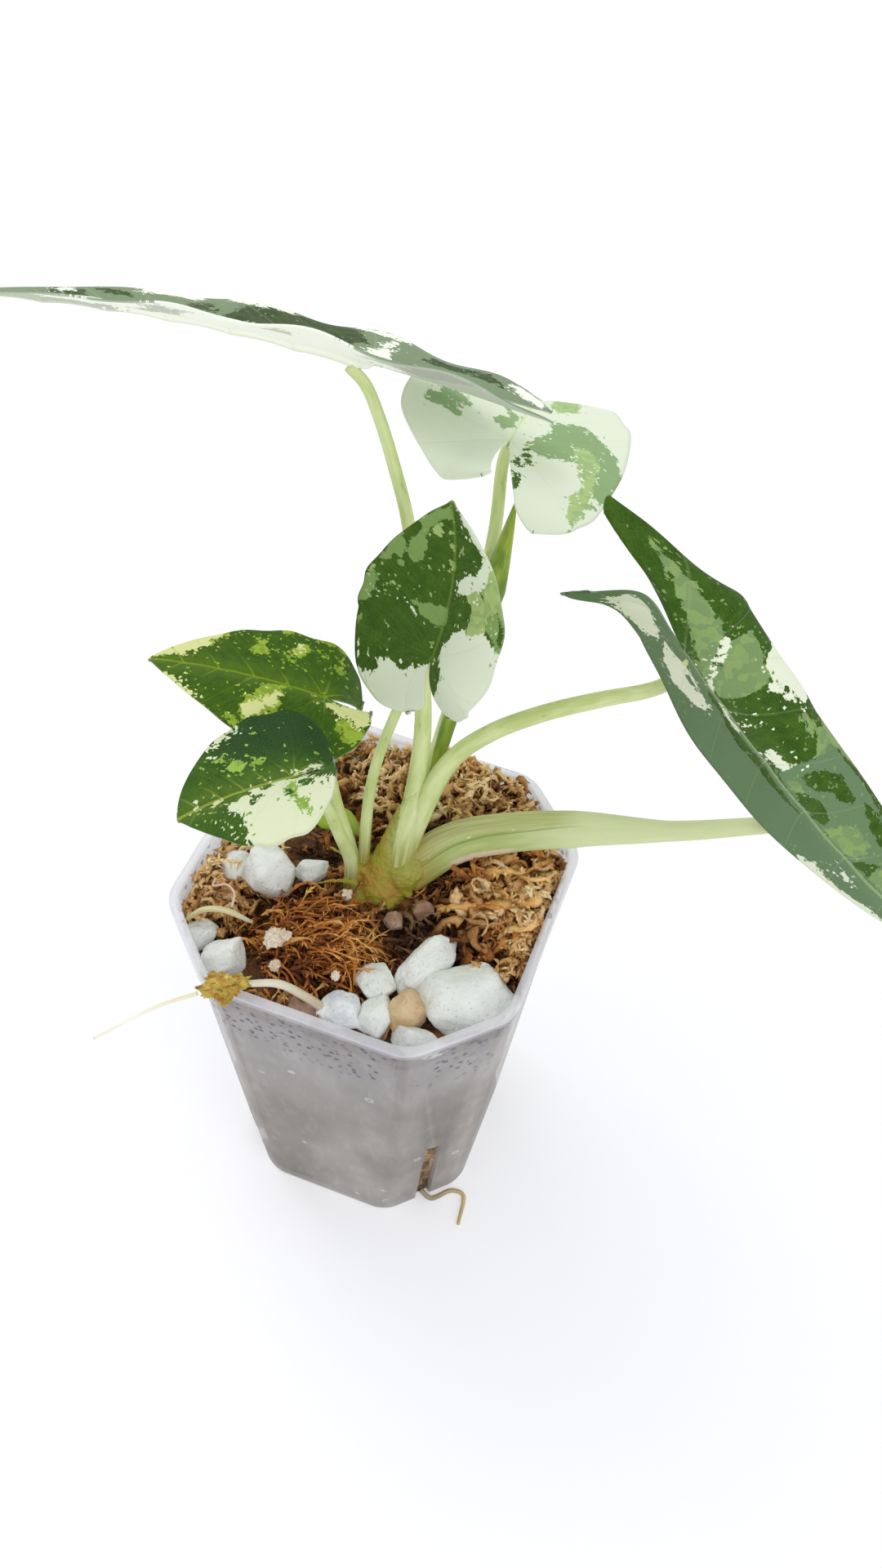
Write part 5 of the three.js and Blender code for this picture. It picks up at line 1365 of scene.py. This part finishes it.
def kept_inside(place):
    """Moves the place in where it would leave the cup."""
    wall = pot_width(FILL) / 2 - FROM_WALL
    place.x = min(max(place.x, -wall), wall)
    place.y = min(max(place.y, -wall), wall)
    over = (abs(place.x) + abs(place.y)) / (2 * wall - TOP_CORNER + 1.4)
    if over > 1:
        place.x /= over
        place.y /= over


def beside_wall(random, wall):
    """A place a little way in from the wall, at a random bearing."""
    turn = random.uniform(*wall)
    x, y = 50 * math.cos(turn), 50 * math.sin(turn)
    span = max(abs(x), abs(y), (abs(x) + abs(y)) / 1.56)
    return (v * (pot_width(FILL) / 2 - random.uniform(*START_FROM_WALL)) / span for v in (x, y))


def strand(random, heap):
    """The places of one strand that wanders over the moss."""
    while True:
        x, y = (c + s * g for c, s, g in zip(heap["centre"], heap["spread"], random.normal(0, 0.5, 2)))
        if "wall" in heap:
            x, y = beside_wall(random, heap["wall"])
        if free_spot(x, y):
            break
    heading = random.uniform(0, 2 * math.pi)
    if "fan" in heap:
        heading = bearing((x - heap["fan"][0], y - heap["fan"][1])) + random.normal(0, 0.35)
    climb = random.uniform(-0.1, 1.1)
    bend = random.normal(0, heap["curl"])
    step = random.uniform(*heap["length"]) / STRAND_STEPS
    low = 0.35 * heap["lift"] if "wall" in heap else 0
    place = Vector((x, y, moss_top(x, y) - SUNK + random.uniform(low, 0.7 * heap["lift"] + 0.6 * low)))
    places = []
    for _ in range(STRAND_STEPS):
        places.append(place.copy())
        bend += random.normal(0, 0.35 * heap["curl"])
        heading += 0.55 * bend
        climb -= 0.26 + random.normal(0, 0.2)
        place += step * Vector((math.cos(heading), math.sin(heading), 0.85 * climb))
        ground = moss_top(place.x, place.y)
        place.z = min(max(place.z, ground - SUNK + 0.8 * low), ground + heap["lift"])
        kept_inside(place)
    return places


SECTION_CORNERS = 4


def section_curve(thin):
    """The cross-section that strands are drawn with: a diamond of half-width 1."""
    curve = bpy.data.curves.new("section", "CURVE")
    ring = curve.splines.new("POLY")
    ring.points.add(SECTION_CORNERS - 1)
    ring.use_cyclic_u = True
    for k, point in enumerate(ring.points):
        turn = 2 * math.pi * k / SECTION_CORNERS
        point.co = (math.cos(turn) * MM, math.sin(turn) * thin * MM, 0, 1)
    return linked("section", curve)


def drawn(curve, places, widths, twist, random):
    """Adds a spline through the places to the curve, turning on itself at random as it goes."""
    spline = curve.splines.new("POLY")
    spline.points.add(len(places) - 1)
    tilt = random.uniform(0, 2 * math.pi)
    for point, place, width in zip(spline.points, places, widths):
        point.co = (*(place * MM), 1)
        point.radius = width
        point.tilt = tilt
        tilt += random.normal(0, twist)


def moss_heap(name, heap, seed):
    """All the strands of a heap, with their scales. Each corner keeps its strand's shade and its height."""
    random = np.random.default_rng(seed)
    section = section_curve(heap["thin"])
    curve = bpy.data.curves.new(name, "CURVE")
    curve.dimensions = "3D"
    curve.bevel_mode = "OBJECT"
    curve.bevel_object = section
    marks = []

    def marked(places, shade):
        for place in places:
            rise = (place.z - moss_top(place.x, place.y)) / heap["lift"]
            marks.extend([(shade, rise, 0)] * SECTION_CORNERS)

    for _ in range(heap["count"]):
        places = strand(random, heap)
        width = random.uniform(*heap["width"])
        shade = random.uniform(0, 1)
        widths = [width * (1 - 0.75 * (k / (STRAND_STEPS - 1)) ** 2) * random.uniform(0.5, 1.3)
                  for k in range(STRAND_STEPS)]
        drawn(curve, places, widths, 0.5, random)
        marked(places, shade)
        for _ in range(heap["scales"]):
            k = random.integers(0, STRAND_STEPS - 1)
            ahead = (places[k + 1] - places[k]).normalized()
            out = (ahead * random.uniform(0.2, 1.2) + Vector(random.normal(0, 0.8, 3))).normalized()
            reach = random.uniform(*SCALE_LENGTH)
            foot = places[k].lerp(places[k + 1], random.uniform(0, 1))
            tip = foot + out * reach - Vector((0, 0, 0.2 * reach))
            scale = [foot, foot.lerp(tip, 0.5) + Vector((0, 0, 0.15)), tip]
            drawn(curve, scale, [0.35 * width + 0.06, 0.42 * width + 0.08, 0.05], 0.2, random)
            marked(scale, shade + random.uniform(-0.1, 0.3))
    made = linked(name + "_curve", curve)
    graph = bpy.context.evaluated_depsgraph_get()
    mesh = bpy.data.meshes.new_from_object(made.evaluated_get(graph))
    bpy.data.objects.remove(made)
    bpy.data.objects.remove(section)
    bm = bmesh.new()
    bm.from_mesh(mesh)
    layer = bm.verts.layers.float_vector.new("strand")
    for vert, mark in zip(bm.verts, marks):
        vert[layer] = mark
    bmesh.ops.holes_fill(bm, edges=[e for e in bm.edges if e.is_boundary])
    bmesh.ops.recalc_face_normals(bm, faces=bm.faces)
    bmesh.ops.scale(bm, vec=(1 / MM, 1 / MM, 1 / MM), verts=bm.verts)
    piece("moss_" + name, bm, moss_finish("moss " + name, heap["warm"]), "mossy_mix")


for seed, (name, heap) in enumerate(HEAPS.items(), 1):
    moss_heap(name, heap, seed)

# Crumbs and curls
# Small crusty lumps caught in the tuft, a curled brown leaf against the left wall, and a thin hooked root.
CRUMBS = [((-13.6, -24.6, 103.2), 1.9), ((-11.8, -23.4, 103.6), 1.3), ((-11, -29.8, 101.6), 1.1),
          ((1.4, -26.4, 100.2), 0.9), ((-4.2, -7.4, 101.6), 1.1)]
CURL_AT = Vector((-34.2, -13.4, 99.4))
CURL_RADIUS = 2.3
CURL_THICKNESS = [1.15, 1, 0.9, 0.6]
HOOK = dict(route=[(-32.2, -14.4, 101.6), (-31.8, -16.4, 101.8), (-29, -15.4, 102.4), (-26.8, -16.4, 101.8),
                   (-26.4, -18.6, 99.6)], radii=[0.3, 0.26, 0.24, 0.26, 0.34])

crumbs = bmesh.new()
for centre, size in CRUMBS:
    made = bmesh.ops.create_icosphere(crumbs, subdivisions=4, radius=1)["verts"]
    for vert in made:
        crust = noise.fractal(vert.co * 1.6 + Vector(centre), 0.6, 2.3, 5)
        vert.co = Vector(centre) + vert.co * size * (1 + 0.55 * crust)
crumb_skin = stone_finish("pink crumbs", (240, 226, 208), (222, 196, 170), (170, 128, 96))
piece("moss_crumbs", crumbs, crumb_skin, "pumice")
loop = []
for k in range(9):
    turn = math.radians(40 * k + 100)
    lift = Vector((0, 0.78, 0.62)) * math.sin(turn)
    loop.append(CURL_AT + CURL_RADIUS * (Vector((0.95, 0.3, 0)) * math.cos(turn) + lift))
curled = rolled(bmesh.new(), dict(route=loop, radii=CURL_THICKNESS, flat=(0.7, 0.7)), 60, 14)
curled_skin = stalk_finish("brown leaf", (190, 138, 74), (136, 86, 38), (120, 74, 30))
piece("curled_leaf", curled, curled_skin, "mossy_mix")
hook_skin = stalk_finish("pink root", (240, 226, 210), (222, 192, 168), (214, 176, 146))
piece("hooked_root", rolled(bmesh.new(), HOOK, 40, 10), hook_skin, "root")

# Table, light and camera
# A white table under wide soft light, seen from above and from the front right, as in the photo.
CAMERA_AT = Vector((69.3326, -176.8510, 364.4442)) * MM
CAMERA_TURN = (17.6305, 50.5014, 3.9898)
LENS_PIXELS = 1802.456
PHOTO_HEIGHT = 1920
SENSOR = 36
TABLE_HALF = 4
AIM = Vector((0, 0, 0.1))

table = bmesh.new()
bmesh.ops.create_grid(table, x_segments=1, y_segments=1, size=TABLE_HALF)
floor = linked("table", bpy.data.meshes.new("table"))
table.to_mesh(floor.data)
table.free()
white = Finish("white table")
floor.data.materials.append(white.surface({
    "Base Color": ink(202, 202, 205), "Roughness": 0.8, "Emission Color": ink(250, 251, 255),
    "Emission Strength": 0.42}))

world = bpy.data.worlds.new("soft light")
bpy.context.scene.world = world
world.use_nodes = True
sky = world.node_tree.nodes["Background"].inputs
sky["Color"].default_value = (0.985, 0.99, 1, 1)
sky["Strength"].default_value = 0.85


def lamp(name, at, size, power):
    light = bpy.data.lights.new(name, "AREA")
    light.size = size
    light.energy = power
    made = linked(name, light)
    made.location = at
    made.rotation_euler = (AIM - Vector(at)).to_track_quat("-Z", "Y").to_euler()


lamp("window", (-0.7, 0.5, 1.1), 0.8, 5)
lamp("fill", (0.9, -0.8, 0.9), 0.9, 4)

yaw, pitch, roll = (math.radians(angle) for angle in CAMERA_TURN)
ahead = Vector((-math.sin(yaw) * math.cos(pitch), math.cos(yaw) * math.cos(pitch), -math.sin(pitch)))
level = Vector((math.cos(yaw), math.sin(yaw), 0))
over = level.cross(ahead)
right = math.cos(roll) * level + math.sin(roll) * over
upward = math.cos(roll) * over - math.sin(roll) * level
lens = bpy.data.cameras.new("camera")
lens.sensor_width = SENSOR
lens.lens = LENS_PIXELS / PHOTO_HEIGHT * SENSOR
lens.clip_start = 0.01
camera = linked("camera", lens)
camera.matrix_world = Matrix.Translation(CAMERA_AT) @ Matrix((right, upward, -ahead)).transposed().to_4x4()
bpy.context.scene.camera = camera
bpy.context.scene.view_settings.view_transform = "Standard"
